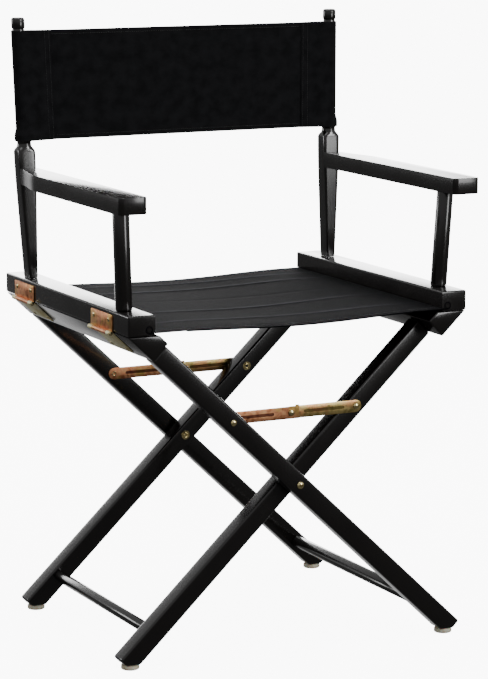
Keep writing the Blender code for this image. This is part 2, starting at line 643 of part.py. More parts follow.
def leg(chair, frame, side, leg_y, end_name, end):
    y = MIDDLE_Y + end * leg_y
    half = LEG_WIDTH / 2
    low, high = -LEG_DEPTH / 2, LEG_DEPTH / 2
    step = low + LEG_FACET * LEG_SIN
    foot = facet_along(step)
    corners = ((LEG_TOP_ALONG, low), (LEG_TOP_ALONG, high), (foot, high), (foot, step),
               (facet_along(low), low))
    outline = [frame_point(side, *corner) for corner in corners]
    near = frame_point(side, LEG_TOP_ALONG + BEYOND, 0)
    far = frame_point(side, LEG_TOP_ALONG - LEG_TENON_LENGTH, 0)
    tenon = rod((near[0], y, near[1]), (far[0], y, far[1]), LEG_TENON_RADIUS)
    holes = bmesh.new()
    beyond = half + BEYOND
    for along, radius in ((0, PIVOT_RADIUS), (-BRACE_FROM_PIVOT, BRACE_RIVET_RADIUS)):
        x, z = frame_point(side, along, 0)
        rod((x, y - beyond, z), (x, y + beyond, z), radius + CLEAR, holes)
    x, z = frame_point(side, stretcher_along(), 0)
    inner = y - end * half
    rod((x, inner - end * BEYOND, z), (x, inner + end * (STRETCHER_TENON_LENGTH + CLEAR), z),
        STRETCHER_TENON_RADIUS + CLEAR, holes)
    x = glide_x(side)
    rod((x, y, GLIDE_HEIGHT - BEYOND), (x, y, GLIDE_HEIGHT + GLIDE_SPIGOT_LENGTH + CLEAR),
        GLIDE_SPIGOT_RADIUS + CLEAR, holes)
    chair.piece(f"{frame}_{end_name}_leg", f"{frame}_frame", "lacquer",
                prism(outline, y - half, y + half), edge=LEG_ROUND, add=tenon, cut=holes)

    rise = GLIDE_HEIGHT - CLEAR
    glide = turned((x, y, 0), (0, 0, 1), (
        (0, GLIDE_RADIUS - GLIDE_CHAMFER), (GLIDE_CHAMFER, GLIDE_RADIUS), (rise, GLIDE_RADIUS),
        (rise, GLIDE_SPIGOT_RADIUS), (rise + GLIDE_SPIGOT_LENGTH, GLIDE_SPIGOT_RADIUS)))
    chair.piece(f"{frame}_{end_name}_glide", f"{frame}_frame", "nylon", glide, smooth=True)


def stretcher(chair, frame, side, leg_y, name):
    x, z = frame_point(side, stretcher_along(), 0)
    shoulder = leg_y - LEG_WIDTH / 2 - CLEAR
    tip = shoulder + STRETCHER_TENON_LENGTH
    chamfer = STRETCHER_CHAMFER
    tenon = (STRETCHER_TENON_RADIUS, STRETCHER_TENON_RADIUS, 2)
    body = (STRETCHER_WIDTH / 2, STRETCHER_DEPTH / 2, 2.6)
    lip = (STRETCHER_WIDTH / 2 - chamfer, STRETCHER_DEPTH / 2 - chamfer, 2.6)
    sections = ((-tip, tenon), (-shoulder, tenon), (-shoulder, lip), (-shoulder + chamfer, body),
                (shoulder - chamfer, body), (shoulder, lip), (shoulder, tenon), (tip, tenon))
    rings = []
    for y, (half_along, half_across, power) in sections:
        ring = []
        for along, across, _ in oval((0, 0), half_along, half_across, power, 0, 14):
            ring.append((x + side * (along * LEG_COS + across * LEG_SIN), MIDDLE_Y + y,
                         z - along * LEG_SIN + across * LEG_COS))
        rings.append(ring)
    chair.piece(f"{name}_stretcher", f"{frame}_frame", "lacquer", loft(rings), smooth=True)


# ---------------------------------------------------------------- hinges
def hinge(chair, side_name, side, frame, end):
    start, stop = hinge_spans()[end]
    centre = (HINGE_X, HINGE_Z)
    upper_length = SEAT_RAIL_TOP - LEAF_FROM_RAIL_TOP - HINGE_Z
    # On the right, wood lies towards -X of the pin, and the leg rail's face faces down and out.
    upper = rolled_sheet(centre, HINGE_BORE_RADIUS, BARREL_RADIUS, math.pi, -1, upper_length)
    towards_wood = math.pi - (math.pi / 2 - LEG_ANGLE)
    lower = rolled_sheet(centre, HINGE_BORE_RADIUS, BARREL_RADIUS, towards_wood, 1,
                         LOWER_LEAF_LENGTH)
    name = f"{side_name}_{end}_hinge"
    notch = BARREL_RADIUS + KNUCKLE_CLEAR
    ends = ((start - BEYOND, start + END_KNUCKLE + CLEAR),
            (stop - END_KNUCKLE - CLEAR, stop + BEYOND))
    cut = bmesh.new()
    square = ((-notch, -notch), (notch, -notch), (notch, notch), (-notch, notch))
    level = [(centre[0] + px, centre[1] + pz) for px, pz in square]
    for low, high in ends:
        prism(mirrored(level, side), low, high, cut)
    for y, z in leaf_screws()[end]:
        rod((side * (HINGE_X + BEYOND), y, z), (side * (SEAT_RAIL_OUTER - BEYOND), y, z),
            SCREW_RADIUS + CLEAR, cut)
    chair.piece(f"{name}_upper_leaf", f"{side_name}_side", "copper_zinc",
                prism(mirrored(upper, side), start, stop), cut=cut, smooth=True)

    slanted = [(centre[0] + px * LEG_COS + pz * LEG_SIN, centre[1] + px * LEG_SIN - pz * LEG_COS)
               for px, pz in square]
    middle = prism(mirrored(slanted, side), start + END_KNUCKLE - CLEAR, stop - END_KNUCKLE + CLEAR)
    chair.piece(f"{name}_lower_leaf", f"{frame}_frame", "pale_zinc",
                prism(mirrored(lower, side), start, stop), cut=middle, smooth=True)

    head = PIN_HEAD_HEIGHT
    far = head + HINGE_LENGTH + 2 * CLEAR
    pin = turned((side * HINGE_X, start - CLEAR - head, HINGE_Z), (0, 1, 0), (
        (0, PIN_HEAD_RADIUS - head), (head, PIN_HEAD_RADIUS), (head, HINGE_PIN_RADIUS),
        (far, HINGE_PIN_RADIUS), (far, PIN_HEAD_RADIUS), (far + head, PIN_HEAD_RADIUS - head)))
    chair.piece(f"{name}_pin", f"{frame}_frame", "brass", pin, smooth=True)

    outside = SEAT_RAIL_OUTER + 2 * CLEAR + LEAF_THICKNESS
    for number, (y, z) in enumerate(leaf_screws()[end], 1):
        tip = -(outside - SEAT_RAIL_OUTER + SCREW_LENGTH)
        profile = [(tip, SCREW_RADIUS / 2), (tip + SCREW_POINT, SCREW_RADIUS), (0, SCREW_RADIUS)]
        profile += dome(0, SCREW_HEAD_RADIUS, SCREW_HEAD_HEIGHT, 1)
        screw = turned((side * outside, y, z), (side, 0, 0), profile)
        chair.piece(f"{name}_screw_{number}", f"{side_name}_side", "brass", screw, smooth=True)


# ---------------------------------------------------------------- main pivots and braces
def main_pivot(chair, end_name, end):
    inner_face = INNER_LEG_Y - LEG_WIDTH / 2
    outer_face = OUTER_LEG_Y + LEG_WIDTH / 2
    tail = inner_face - 2 * CLEAR - TAIL_WASHER_THICKNESS
    reach = outer_face + CLEAR - tail
    head = dome(0, PIVOT_HEAD_RADIUS, PIVOT_HEAD_HEIGHT)
    peen = [(-reach - d, r) for d, r in reversed(dome(0, PEEN_RADIUS, PEEN_HEIGHT, 2))]
    profile = peen + [(-reach, PIVOT_RADIUS), (0, PIVOT_RADIUS)] + head
    base = (0, MIDDLE_Y + end * (outer_face + CLEAR), PIVOT_HEIGHT)
    rivet = turned(base, (0, end, 0), profile)
    chair.piece(f"{end_name}_pivot_rivet", "outer_frame", "brass", rivet, smooth=True)

    def washer(name, start, thickness, radius):
        low = (0, MIDDLE_Y + end * start, PIVOT_HEIGHT)
        disc = turned(low, (0, end, 0), ((0, radius), (thickness, radius)))
        hole = turned(low, (0, end, 0), ((-BEYOND, PIVOT_RADIUS + CLEAR),
                                         (thickness + BEYOND, PIVOT_RADIUS + CLEAR)))
        chair.piece(name, "outer_frame", "brass", disc, cut=hole, smooth=True)

    washer(f"{end_name}_pivot_washer", tail + CLEAR, TAIL_WASHER_THICKNESS, TAIL_WASHER_RADIUS)
    washer(f"{end_name}_pivot_spacer", INNER_LEG_Y + LEG_WIDTH / 2 + CLEAR,
           LEG_GAP - 2 * CLEAR, SPACER_RADIUS)


def link_outline(square_end):
    """Outline of a link about its leg rivet, running to +X."""
    half = LINK_WIDTH / 2
    points = arc((0, 0), half, math.pi / 2, 3 * math.pi / 2, 8)
    if square_end:
        points += [(BRACE_X + LINK_END, -half), (BRACE_X + LINK_END, half)]
    else:
        points += arc((BRACE_X, 0), half, -math.pi / 2, math.pi / 2, 8)
    return points


def groove_outline():
    half = LINK_GROOVE_WIDTH / 2
    points = arc((LINK_GROOVE_INSET, 0), half, math.pi / 2, 3 * math.pi / 2, 3)
    return points + arc((BRACE_X - LINK_GROOVE_INSET, 0), half, -math.pi / 2, math.pi / 2, 3)


def brace_link(chair, end_name, end, frame, finish):
    """A link on one leg. Offsets are measured from the frame's middle towards its end."""
    outer = frame == "outer"
    side = -1 if outer else 1
    outer_link_face = OUTER_LEG_Y - LEG_WIDTH / 2 - CLEAR
    face = outer_link_face if outer else outer_link_face - LINK_THICKNESS - CLEAR
    back = face - LINK_THICKNESS

    def placed(outline):
        return [(side * (BRACE_X - x), BRACE_Z + z) for x, z in outline]

    def at(offset):
        return MIDDLE_Y + end * offset

    cut = bmesh.new()
    for x in (0, BRACE_X):
        px, pz = placed([(x, 0)])[0]
        rod((px, at(back - BEYOND), pz), (px, at(face + BEYOND), pz), BRACE_RIVET_RADIUS + CLEAR,
            cut)
    for low, high in ((back - BEYOND, back + LINK_GROOVE_DEPTH),
                      (face - LINK_GROOVE_DEPTH, face + BEYOND)):
        prism(placed(groove_outline()), at(low), at(high), cut)
    add = None
    if outer:
        half = LINK_WIDTH / 2
        tip = back - CLEAR - LINK_THICKNESS
        root = half - STOP_TAB_THICKNESS
        section = ((face, root), (face, half + CLEAR + STOP_TAB_THICKNESS),
                   (tip, half + CLEAR + STOP_TAB_THICKNESS), (tip, half + CLEAR),
                   (back, half + CLEAR), (back, root))
        rings = []
        for x in (BRACE_X + STOP_TAB_FROM_RIVET, BRACE_X + LINK_END):
            rings.append([(side * (BRACE_X - x), at(d), BRACE_Z + z) for d, z in section])
        add = loft(rings)
    chair.piece(f"{end_name}_brace_{frame}_link", f"{end_name}_brace_{frame}", finish,
                prism(placed(link_outline(outer)), at(back), at(face)), add=add, cut=cut)


def brace_rivets(chair, end_name, end):
    outer_link_face = OUTER_LEG_Y - LEG_WIDTH / 2 - CLEAR
    outer_link_back = outer_link_face - LINK_THICKNESS
    inner_link_face = outer_link_back - CLEAR
    head = dome(0, BRACE_HEAD_RADIUS, BRACE_HEAD_HEIGHT)

    def rivet(name, body, x, base, length, tail_radius):
        if tail_radius:
            shank = [(-length - TAIL_HEIGHT, tail_radius - TAIL_CHAMFER), (-length, tail_radius),
                     (-length, BRACE_RIVET_RADIUS), (0, BRACE_RIVET_RADIUS)]
        else:
            shank = [(-length, BRACE_RIVET_RADIUS), (0, BRACE_RIVET_RADIUS)]
        solid = turned((x, MIDDLE_Y + end * base, BRACE_Z), (0, end, 0), shank + head)
        chair.piece(name, body, "brass", solid, smooth=True)

    base = OUTER_LEG_Y + LEG_WIDTH / 2 + CLEAR
    rivet(f"{end_name}_brace_outer_rivet", "outer_frame", -BRACE_X, base,
          base - outer_link_back + CLEAR, HIDDEN_TAIL_RADIUS)
    base = inner_link_face + CLEAR
    rivet(f"{end_name}_brace_inner_rivet", "inner_frame", BRACE_X, base,
          base - (INNER_LEG_Y - LEG_WIDTH / 2) + CLEAR, SEEN_TAIL_RADIUS)
    rivet(f"{end_name}_brace_middle_rivet", f"{end_name}_brace_outer", 0,
          outer_link_face + CLEAR, LINK_THICKNESS + CLEAR, 0)


# ---------------------------------------------------------------- the whole chair
def build():
    chair = Chair()
    for name, side in SIDES:
        seat_rail(chair, name, side)
        front_post(chair, name, side)
        rear_post(chair, name, side)
        armrest(chair, name, side)
        frame = "outer" if side < 0 else "inner"
        for end, _ in ENDS:
            hinge(chair, name, side, frame, end)
    for frame, side, leg_y in FRAMES:
        top_name = "left" if side > 0 else "right"
        foot_name = "right" if side > 0 else "left"
        leg_rail(chair, frame, side, top_name)
        stretcher(chair, frame, side, leg_y, foot_name)
        for end_name, end in ENDS:
            leg(chair, frame, side, leg_y, end_name, end)
    for end_name, end in ENDS:
        main_pivot(chair, end_name, end)
        brace_link(chair, end_name, end, "outer", "copper_zinc")
        brace_link(chair, end_name, end, "inner", "olive_zinc")
        brace_rivets(chair, end_name, end)
    seat_canvas(chair)
    back_canvas(chair)
    bpy.context.view_layer.update()


build()
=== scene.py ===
"""Looks of a folding director's chair: black lacquered beech, black canvas, plated hinges.

X runs across the chair, Y from its front to its back and Z up, in metres. Left is the -X side.
"""

import math

import bmesh
import bpy
import numpy as np
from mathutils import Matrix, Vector


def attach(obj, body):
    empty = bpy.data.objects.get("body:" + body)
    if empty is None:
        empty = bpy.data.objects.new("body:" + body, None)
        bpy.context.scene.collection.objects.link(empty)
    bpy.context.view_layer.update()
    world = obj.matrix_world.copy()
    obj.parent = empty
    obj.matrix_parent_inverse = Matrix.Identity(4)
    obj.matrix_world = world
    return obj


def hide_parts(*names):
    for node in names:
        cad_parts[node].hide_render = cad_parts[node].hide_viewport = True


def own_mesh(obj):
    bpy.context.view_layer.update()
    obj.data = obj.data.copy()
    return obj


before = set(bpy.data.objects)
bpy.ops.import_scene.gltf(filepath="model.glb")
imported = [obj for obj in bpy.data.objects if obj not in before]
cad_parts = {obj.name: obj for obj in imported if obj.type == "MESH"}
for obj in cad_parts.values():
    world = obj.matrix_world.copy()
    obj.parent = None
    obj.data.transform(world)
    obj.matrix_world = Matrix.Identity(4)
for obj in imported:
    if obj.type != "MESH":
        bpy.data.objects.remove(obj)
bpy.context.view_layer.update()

# ---------------------------------------------------------------- sizes of the real pieces
CLEAR = 0.0003
MIDDLE_Y = 0.00375
HALF_LENGTH = 0.215

RAIL_OUTER, RAIL_WIDTH, RAIL_TOP, RAIL_HEIGHT = 0.2535, 0.038, 0.4865, 0.0275
RAIL_INNER, RAIL_BOTTOM = RAIL_OUTER - RAIL_WIDTH, RAIL_TOP - RAIL_HEIGHT
GROOVE_X, GROOVE_Z = RAIL_INNER + 0.0085, RAIL_BOTTOM + 0.0078
DOWEL_RADIUS, CANVAS = 0.0035, 0.0012
HEM_RADIUS = DOWEL_RADIUS + CLEAR + CANVAS
SEAT_SAG = 0.0042
SEAT_ROLL = math.radians(296)  # turn of the seat's edge round its dowel

ARM_TOP, ARM_OUTER, ARM_WIDTH, ARM_THICKNESS, ARM_OVERHANG = 0.6415, 0.268, 0.040, 0.022, 0.0075
BACK_BOTTOM, BACK_TOP, CHAIR_TOP = 0.679, 0.8325, 0.851
SEAM_FROM_POST = 0.047

PIVOT_HEIGHT = 0.237
LEG, LEG_ANGLE = 0.027, 0.75824467803114
LEG_COS, LEG_SIN = math.cos(LEG_ANGLE), math.sin(LEG_ANGLE)
OUTER_LEG_Y, INNER_LEG_Y = 0.1975, 0.1668
FACE_START = -(RAIL_OUTER ** 2 + (RAIL_BOTTOM - 0.0005 - PIVOT_HEIGHT) ** 2
               - (LEG / 2) ** 2) ** 0.5
LEG_RAIL_FACE, LEG_RAIL_DEPTH = 0.050, 0.031
GLIDE_HEIGHT, GLIDE_RADIUS = 0.007, 0.0125

BRACE_X, BRACE_Z = 0.10019409579140566, 0.33189543281181993
LINK_WIDTH, LINK_THICKNESS, LINK_END = 0.017, 0.0014, 0.012
HINGE_X, HINGE_Z = 0.2569, 0.457037283786213
BARREL, BORE, LEAF = 0.0031, 0.0018, 0.0013
HINGE_SPANS = {"front": (-0.16125, -0.09125), "rear": (0.11075, 0.18075)}
KNUCKLE = 0.012

SIDES = (("left", -1), ("right", 1))
ENDS = (("front", -1), ("rear", 1))
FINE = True


# ---------------------------------------------------------------- materials
def linear(text):
    """sRGB hex to linear RGBA."""
    channels = [int(text[i:i + 2], 16) / 255 for i in (1, 3, 5)]
    return *(c / 12.92 if c <= 0.04045 else ((c + 0.055) / 1.055) ** 2.4 for c in channels), 1


def node(tree, kind, links=(), stops=(), **settings):
    """Add a node. A setting that starts with i_ is an input's value, and any other a property.
    Stops are a colour ramp's (position, hex colour) pairs."""
    made = tree.nodes.new(kind)
    for key, value in settings.items():
        if key.startswith("i_"):
            made.inputs[key[2:].replace("_", " ")].default_value = value
        else:
            setattr(made, key, value)
    while stops and len(made.color_ramp.elements) < len(stops):
        made.color_ramp.elements.new(0.5)
    for (position, colour), element in zip(stops, made.color_ramp.elements if stops else ()):
        element.position, element.color = position, linear(colour)
    for socket, source in dict(links).items():
        tree.links.new(source, made.inputs[socket])
    return made


def material(name, colour, roughness, metallic=0.0, **sockets):
    made = bpy.data.materials.new(name)
    made.use_nodes = True
    shader = made.node_tree.nodes["Principled BSDF"]
    shader.inputs["Base Color"].default_value = linear(colour)
    shader.inputs["Roughness"].default_value = roughness
    shader.inputs["Metallic"].default_value = metallic
    for key, value in sockets.items():
        shader.inputs[key.replace("_", " ")].default_value = value
    return made, made.node_tree, shader


def lacquered_beech():
    """Beech sprayed with black semi-gloss lacquer. The lacquer levels over the close grain, so the
    eye sees sharp highlights that waver a little along the wood, and a faint orange peel."""
    made, tree, shader = material("black_lacquered_beech", "#0d0a09", 0.24, Coat_Weight=0.8,
                                  Coat_Roughness=0.12, Specular_IOR_Level=0.3)
    along = node(tree, "ShaderNodeAttribute", attribute_name="grain").outputs["Vector"]
    # Beech rays are about 1 mm wide and run on for tens of millimetres
    stretched = node(tree, "ShaderNodeMapping", {"Vector": along}, i_Scale=(25, 900, 900))
    grain = node(tree, "ShaderNodeTexNoise", {"Vector": stretched.outputs["Vector"]}, i_Scale=1.0,
                 i_Detail=4.0, i_Roughness=0.6)
    # Orange peel of a sprayed coat, about 2 mm between its bumps
    peel = node(tree, "ShaderNodeTexNoise", {"Vector": along}, i_Scale=500.0, i_Detail=2.0)
    cloudy = node(tree, "ShaderNodeTexNoise", {"Vector": along}, i_Scale=14.0, i_Detail=3.0)
    colour = node(tree, "ShaderNodeValToRGB", {"Fac": grain.outputs["Fac"]},
                  stops=((0.30, "#0a0807"), (0.72, "#120e0c"))).outputs["Color"]
    tree.links.new(colour, shader.inputs["Base Color"])
    gloss = node(tree, "ShaderNodeMapRange", {"Value": cloudy.outputs["Fac"]}, i_From_Min=0.3,
                 i_From_Max=0.7, i_To_Min=0.20, i_To_Max=0.28)
    tree.links.new(gloss.outputs["Result"], shader.inputs["Roughness"])
    first = node(tree, "ShaderNodeBump", {"Height": grain.outputs["Fac"]}, i_Strength=0.05,
                 i_Distance=0.0003)
    both = node(tree, "ShaderNodeBump", {"Height": peel.outputs["Fac"],
                                         "Normal": first.outputs["Normal"]},
                i_Strength=0.03, i_Distance=0.0003)
    tree.links.new(both.outputs["Normal"], shader.inputs["Normal"])
    tree.links.new(first.outputs["Normal"], shader.inputs["Coat Normal"])
    return made


def canvas_cloth(name, dark, light):
    """Plain-weave cotton canvas dyed black: matt, with a faint grid of threads and fuzz that
    lightens it at a low angle. Threads are 1.3 mm apart, coarser than real ones, so they show."""
    made, tree, shader = material(name, dark, 0.90, Sheen_Weight=0.02, Sheen_Roughness=0.45,
                                  Specular_IOR_Level=0.05)
    uv = node(tree, "ShaderNodeUVMap", uv_map="cloth").outputs["UV"]
    threads = []
    for direction in ("X", "Y"):
        wave = node(tree, "ShaderNodeTexWave", {"Vector": uv}, wave_type="BANDS",
                    bands_direction=direction, wave_profile="SIN", i_Scale=0.314 / 0.0013,
                    i_Distortion=0.6, i_Detail=1.0)
        threads.append(wave.outputs["Fac"])
    weave = node(tree, "ShaderNodeMath", {0: threads[0], 1: threads[1]}, operation="MULTIPLY")
    slub = node(tree, "ShaderNodeTexNoise", {"Vector": uv}, i_Scale=60.0, i_Detail=5.0)
    mix = node(tree, "ShaderNodeMath", {0: weave.outputs[0], 1: slub.outputs["Fac"]},
               operation="MULTIPLY_ADD")
    tree.links.new(slub.outputs["Fac"], mix.inputs[2])
    colour = node(tree, "ShaderNodeValToRGB", {"Fac": mix.outputs[0]},
                  stops=((0.35, dark), (1.0, light))).outputs["Color"]
    # Painted highlight: fold crests are mixed toward a lighter grey, for the light they catch
    worn = node(tree, "ShaderNodeAttribute", attribute_name="worn").outputs["Fac"]
    highlighted = node(tree, "ShaderNodeMix", {"Factor": worn, 6: colour}, data_type="RGBA")
    highlighted.inputs[7].default_value = linear("#34343b")
    tree.links.new(highlighted.outputs[2], shader.inputs["Base Color"])
    bump = node(tree, "ShaderNodeBump", {"Height": weave.outputs[0]}, i_Strength=0.35,
                i_Distance=0.0003)
    tree.links.new(bump.outputs["Normal"], shader.inputs["Normal"])
    return made


def plated_steel(name, low, middle, high, drift, roughness):
    """Stamped steel, zinc plated and passivated: satin, in drifting tints of one colour, with fine
    rolling marks along the strip and duller patches."""
    made, tree, shader = material(name, middle, roughness, 1.0)
    place = node(tree, "ShaderNodeTexCoord").outputs["Object"]
    # Tint patches of the passivation are some 8 mm across
    patches = node(tree, "ShaderNodeTexNoise", {"Vector": place}, i_Scale=125.0, i_Detail=4.0,
                   i_Distortion=0.8)
    colour = node(tree, "ShaderNodeValToRGB", {"Fac": patches.outputs["Fac"]},
                  stops=((0.30, low), (0.50, middle), (0.70, high))).outputs["Color"]
    # and over 25 mm or so they drift into the bath's other tint
    slow = node(tree, "ShaderNodeTexNoise", {"Vector": place}, i_Scale=38.0, i_Detail=2.0)
    share = node(tree, "ShaderNodeMapRange", {"Value": slow.outputs["Fac"]}, i_From_Min=0.50,
                 i_From_Max=0.64, i_To_Max=0.8)
    tinted = node(tree, "ShaderNodeMix", {"Factor": share.outputs["Result"], 6: colour},
                  data_type="RGBA")
    tinted.inputs[7].default_value = linear(drift)
    tree.links.new(tinted.outputs[2], shader.inputs["Base Color"])
    lines = node(tree, "ShaderNodeMapping", {"Vector": place}, i_Scale=(60, 60, 2500))
    marks = node(tree, "ShaderNodeTexNoise", {"Vector": lines.outputs["Vector"]}, i_Scale=1.0,
                 i_Detail=3.0)
    satin = node(tree, "ShaderNodeMapRange", {"Value": patches.outputs["Fac"]}, i_From_Min=0.3,
                 i_From_Max=0.7, i_To_Min=roughness - 0.07, i_To_Max=roughness + 0.09)
    tree.links.new(satin.outputs["Result"], shader.inputs["Roughness"])
    bump = node(tree, "ShaderNodeBump", {"Height": marks.outputs["Fac"]}, i_Strength=0.12,
                i_Distance=0.0002)
    tree.links.new(bump.outputs["Normal"], shader.inputs["Normal"])
    return made


def brass_plate():
    """Brass-plated rivets and screws: pale gold, polished by the rivet set, tarnished in specks."""
    made, tree, shader = material("brass_plated_rivet", "#e6d49c", 0.17, 1.0)
    place = node(tree, "ShaderNodeTexCoord").outputs["Object"]
    specks = node(tree, "ShaderNodeTexNoise", {"Vector": place}, i_Scale=420.0, i_Detail=4.0)
    colour = node(tree, "ShaderNodeValToRGB", {"Fac": specks.outputs["Fac"]},
                  stops=((0.34, "#b59a5c"), (0.52, "#efe0a8"))).outputs["Color"]
    tree.links.new(colour, shader.inputs["Base Color"])
    return made


def glide_nylon():
    """Moulded natural nylon: creamy, a little see-through at its edge, soft shine."""
    made, tree, shader = material("cream_nylon", "#ded6bd", 0.36, Subsurface_Weight=0.25,
                                  Subsurface_Scale=0.003)
    place = node(tree, "ShaderNodeTexCoord").outputs["Object"]
    scuffs = node(tree, "ShaderNodeTexNoise", {"Vector": place}, i_Scale=260.0, i_Detail=5.0)
    colour = node(tree, "ShaderNodeValToRGB", {"Fac": scuffs.outputs["Fac"]},
                  stops=((0.32, "#c6bb9a"), (0.52, "#e2dbc6"))).outputs["Color"]
    tree.links.new(colour, shader.inputs["Base Color"])
    bump = node(tree, "ShaderNodeBump", {"Height": scuffs.outputs["Fac"]}, i_Strength=0.1,
                i_Distance=0.0003)
    tree.links.new(bump.outputs["Normal"], shader.inputs["Normal"])
    return made


def stained_birch():
    """Birch dowel stained black but not lacquered: matt, with browner pores along it."""
    made, tree, shader = material("black_stained_birch", "#0b0807", 0.62,
                                  Specular_IOR_Level=0.2)
    along = node(tree, "ShaderNodeAttribute", attribute_name="grain").outputs["Vector"]
    stretched = node(tree, "ShaderNodeMapping", {"Vector": along}, i_Scale=(30, 1500, 1500))
    pores = node(tree, "ShaderNodeTexNoise", {"Vector": stretched.outputs["Vector"]}, i_Scale=1.0,
                 i_Detail=4.0)
    colour = node(tree, "ShaderNodeValToRGB", {"Fac": pores.outputs["Fac"]},
                  stops=((0.35, "#060504"), (0.60, "#0f0b09"))).outputs["Color"]
    tree.links.new(colour, shader.inputs["Base Color"])
    return made


def sewing_thread():
    """Black polyester thread: twisted, with a slight shine, so stitches stand out on the cloth."""
    made, tree, shader = material("black_polyester_thread", "#1b1b1e", 0.50, Sheen_Weight=0.2)
    place = node(tree, "ShaderNodeTexCoord").outputs["Object"]
    twist = node(tree, "ShaderNodeTexNoise", {"Vector": place}, i_Scale=1500.0)
    bump = node(tree, "ShaderNodeBump", {"Height": twist.outputs["Fac"]}, i_Strength=0.3,
                i_Distance=0.0002)
    tree.links.new(bump.outputs["Normal"], shader.inputs["Normal"])
    return made


BEECH = lacquered_beech()
# One canvas in two copies: painted shade darkens the seat's, painted light lightens the back's
SHADED_SEAT_CLOTH = canvas_cloth("black_canvas_seat", "#09090b", "#0f0f13")
LIT_BACK_CLOTH = canvas_cloth("black_canvas_back", "#131314", "#212123")
COPPER_ZINC = plated_steel("copper_tinted_zinc", "#bc7450", "#e4a076", "#f0ba88", "#d2b062", 0.40)
OLIVE_ZINC = plated_steel("olive_tinted_zinc", "#a39150", "#c6b274", "#d4bc7c", "#cf9468", 0.33)
PALE_ZINC = plated_steel("pale_yellow_zinc", "#cfc694", "#f2ecc6", "#f6f2e0", "#e6d79a", 0.55)
# Darker copies of both tints for the groove's faces: painted shade in the pressed groove
SHADED_GROOVE_COPPER = plated_steel("copper_tinted_zinc_groove", "#4a2a1e", "#6d4434", "#7c503a",
                             "#5c4a26", 0.45)
SHADED_GROOVE_OLIVE = plated_steel("olive_tinted_zinc_groove", "#4a4120", "#6b5e34", "#7c6c40",
                            "#6b4630", 0.45)
BRASS = brass_plate()
NYLON = glide_nylon()
STAINED_BIRCH = stained_birch()
THREAD = sewing_thread()
SLOTS = {BEECH: "lacquer", SHADED_SEAT_CLOTH: "canvas", LIT_BACK_CLOTH: "canvas", THREAD: "canvas",
         COPPER_ZINC: "copper_zinc", OLIVE_ZINC: "olive_zinc", PALE_ZINC: "pale_zinc",
         BRASS: "brass", NYLON: "nylon", STAINED_BIRCH: "birch"}
GROOVE_SHADES = {COPPER_ZINC: SHADED_GROOVE_COPPER, OLIVE_ZINC: SHADED_GROOVE_OLIVE}


# ---------------------------------------------------------------- shapes
def mesh_from(bm, name):
    mesh = bpy.data.meshes.new(name)
    bm.to_mesh(mesh)
    bm.free()
    return mesh


def added(name, data):
    """Put an object into the scene."""
    obj = bpy.data.objects.new(name, data)
    bpy.context.scene.collection.objects.link(obj)
    return obj


def finished_mesh(obj):
    """Plain mesh of an object, with its modifiers done."""
    return bpy.data.meshes.new_from_object(obj.evaluated_get(
        bpy.context.evaluated_depsgraph_get()))


def arc(centre, radius, start, end, steps):
    turns = [start + (end - start) * i / steps for i in range(steps + 1)]
    return [(centre[0] + radius * math.cos(t), centre[1] + radius * math.sin(t)) for t in turns]


def loft(rings, bm=None, around=False):
    """Close a solid through rings of points that follow one another, or come back around."""
    bm = bm or bmesh.new()
    loops = [[bm.verts.new(point) for point in ring] for ring in rings]
    faces = [] if around else [bm.faces.new(loops[0]), bm.faces.new(loops[-1])]
    for near, far in zip(loops, loops[1:] + loops[:1] if around else loops[1:]):
        for i in range(len(near)):
            j = (i + 1) % len(near)
            faces.append(bm.faces.new((near[i], near[j], far[j], far[i])))
    bmesh.ops.recalc_face_normals(bm, faces=faces)
    return bm


def prism(outline, start, end, bm=None):
    return loft([[(x, y, z) for x, z in outline] for y in (start, end)], bm)


def turned(start, direction, profile, sides=48, around=False):
    """Turn a profile of (distance, radius) about a line."""
    axis = Vector(direction).normalized()
    across = axis.orthogonal().normalized()
    up = axis.cross(across)
    turns = [2 * math.pi * i / sides for i in range(sides)]
    rings = [[Vector(start) + axis * d + r * (math.cos(t) * across + math.sin(t) * up)
              for t in turns] for d, r in profile]
    return loft(rings, around=around)


def dome(base, radius, height, steps=8):
    angles = [math.pi / 2 * i / (steps + 0.25) for i in range(steps + 1)]
    return [(base + height * math.sin(t), radius * math.cos(t)) for t in angles]


def rounded(bm, width, chosen=None, segments=4):
    """Round the sharp edges, or only those that chosen accepts."""
    edges = [e for e in bm.edges if len(e.link_faces) == 2
             and e.calc_face_angle(0) > math.radians(35) and (chosen is None or chosen(e))]
    bmesh.ops.bevel(bm, geom=edges, offset=width, segments=segments, profile=0.5,
                    affect="EDGES", clamp_overlap=True)
    return bm


def frame_point(side, along, across):
    """A point of a leg frame: along the leg, down from the pivot, and across it, upwards."""
    return (side * (along * LEG_COS + across * LEG_SIN),
            PIVOT_HEIGHT - along * LEG_SIN + across * LEG_COS)


def mirrored(outline, side):
    return [(side * x, z) for x, z in outline]


def piece(name, bm, finish, body=None, nodes=(), grain=None, sharp=40):
    """Make an object of the mesh and let it stand for its CAD nodes."""
    mesh = mesh_from(bm, f"{name}_{SLOTS[finish]}")
    mesh.shade_smooth()
    mesh.set_sharp_from_angle(angle=math.radians(sharp))
    mesh.materials.append(finish)
    obj = added(mesh.name, mesh)
    if grain is not None:
        along = Vector(grain).normalized()
        across = along.orthogonal().normalized()
        up = along.cross(across)
        places = mesh.attributes.new("grain", "FLOAT_VECTOR", "POINT")
        for vertex, place in zip(mesh.vertices, places.data):
            place.vector = (vertex.co.dot(along), vertex.co.dot(across), vertex.co.dot(up))
    if body:
        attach(obj, body)
    if nodes:
        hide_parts(*nodes)
    return obj


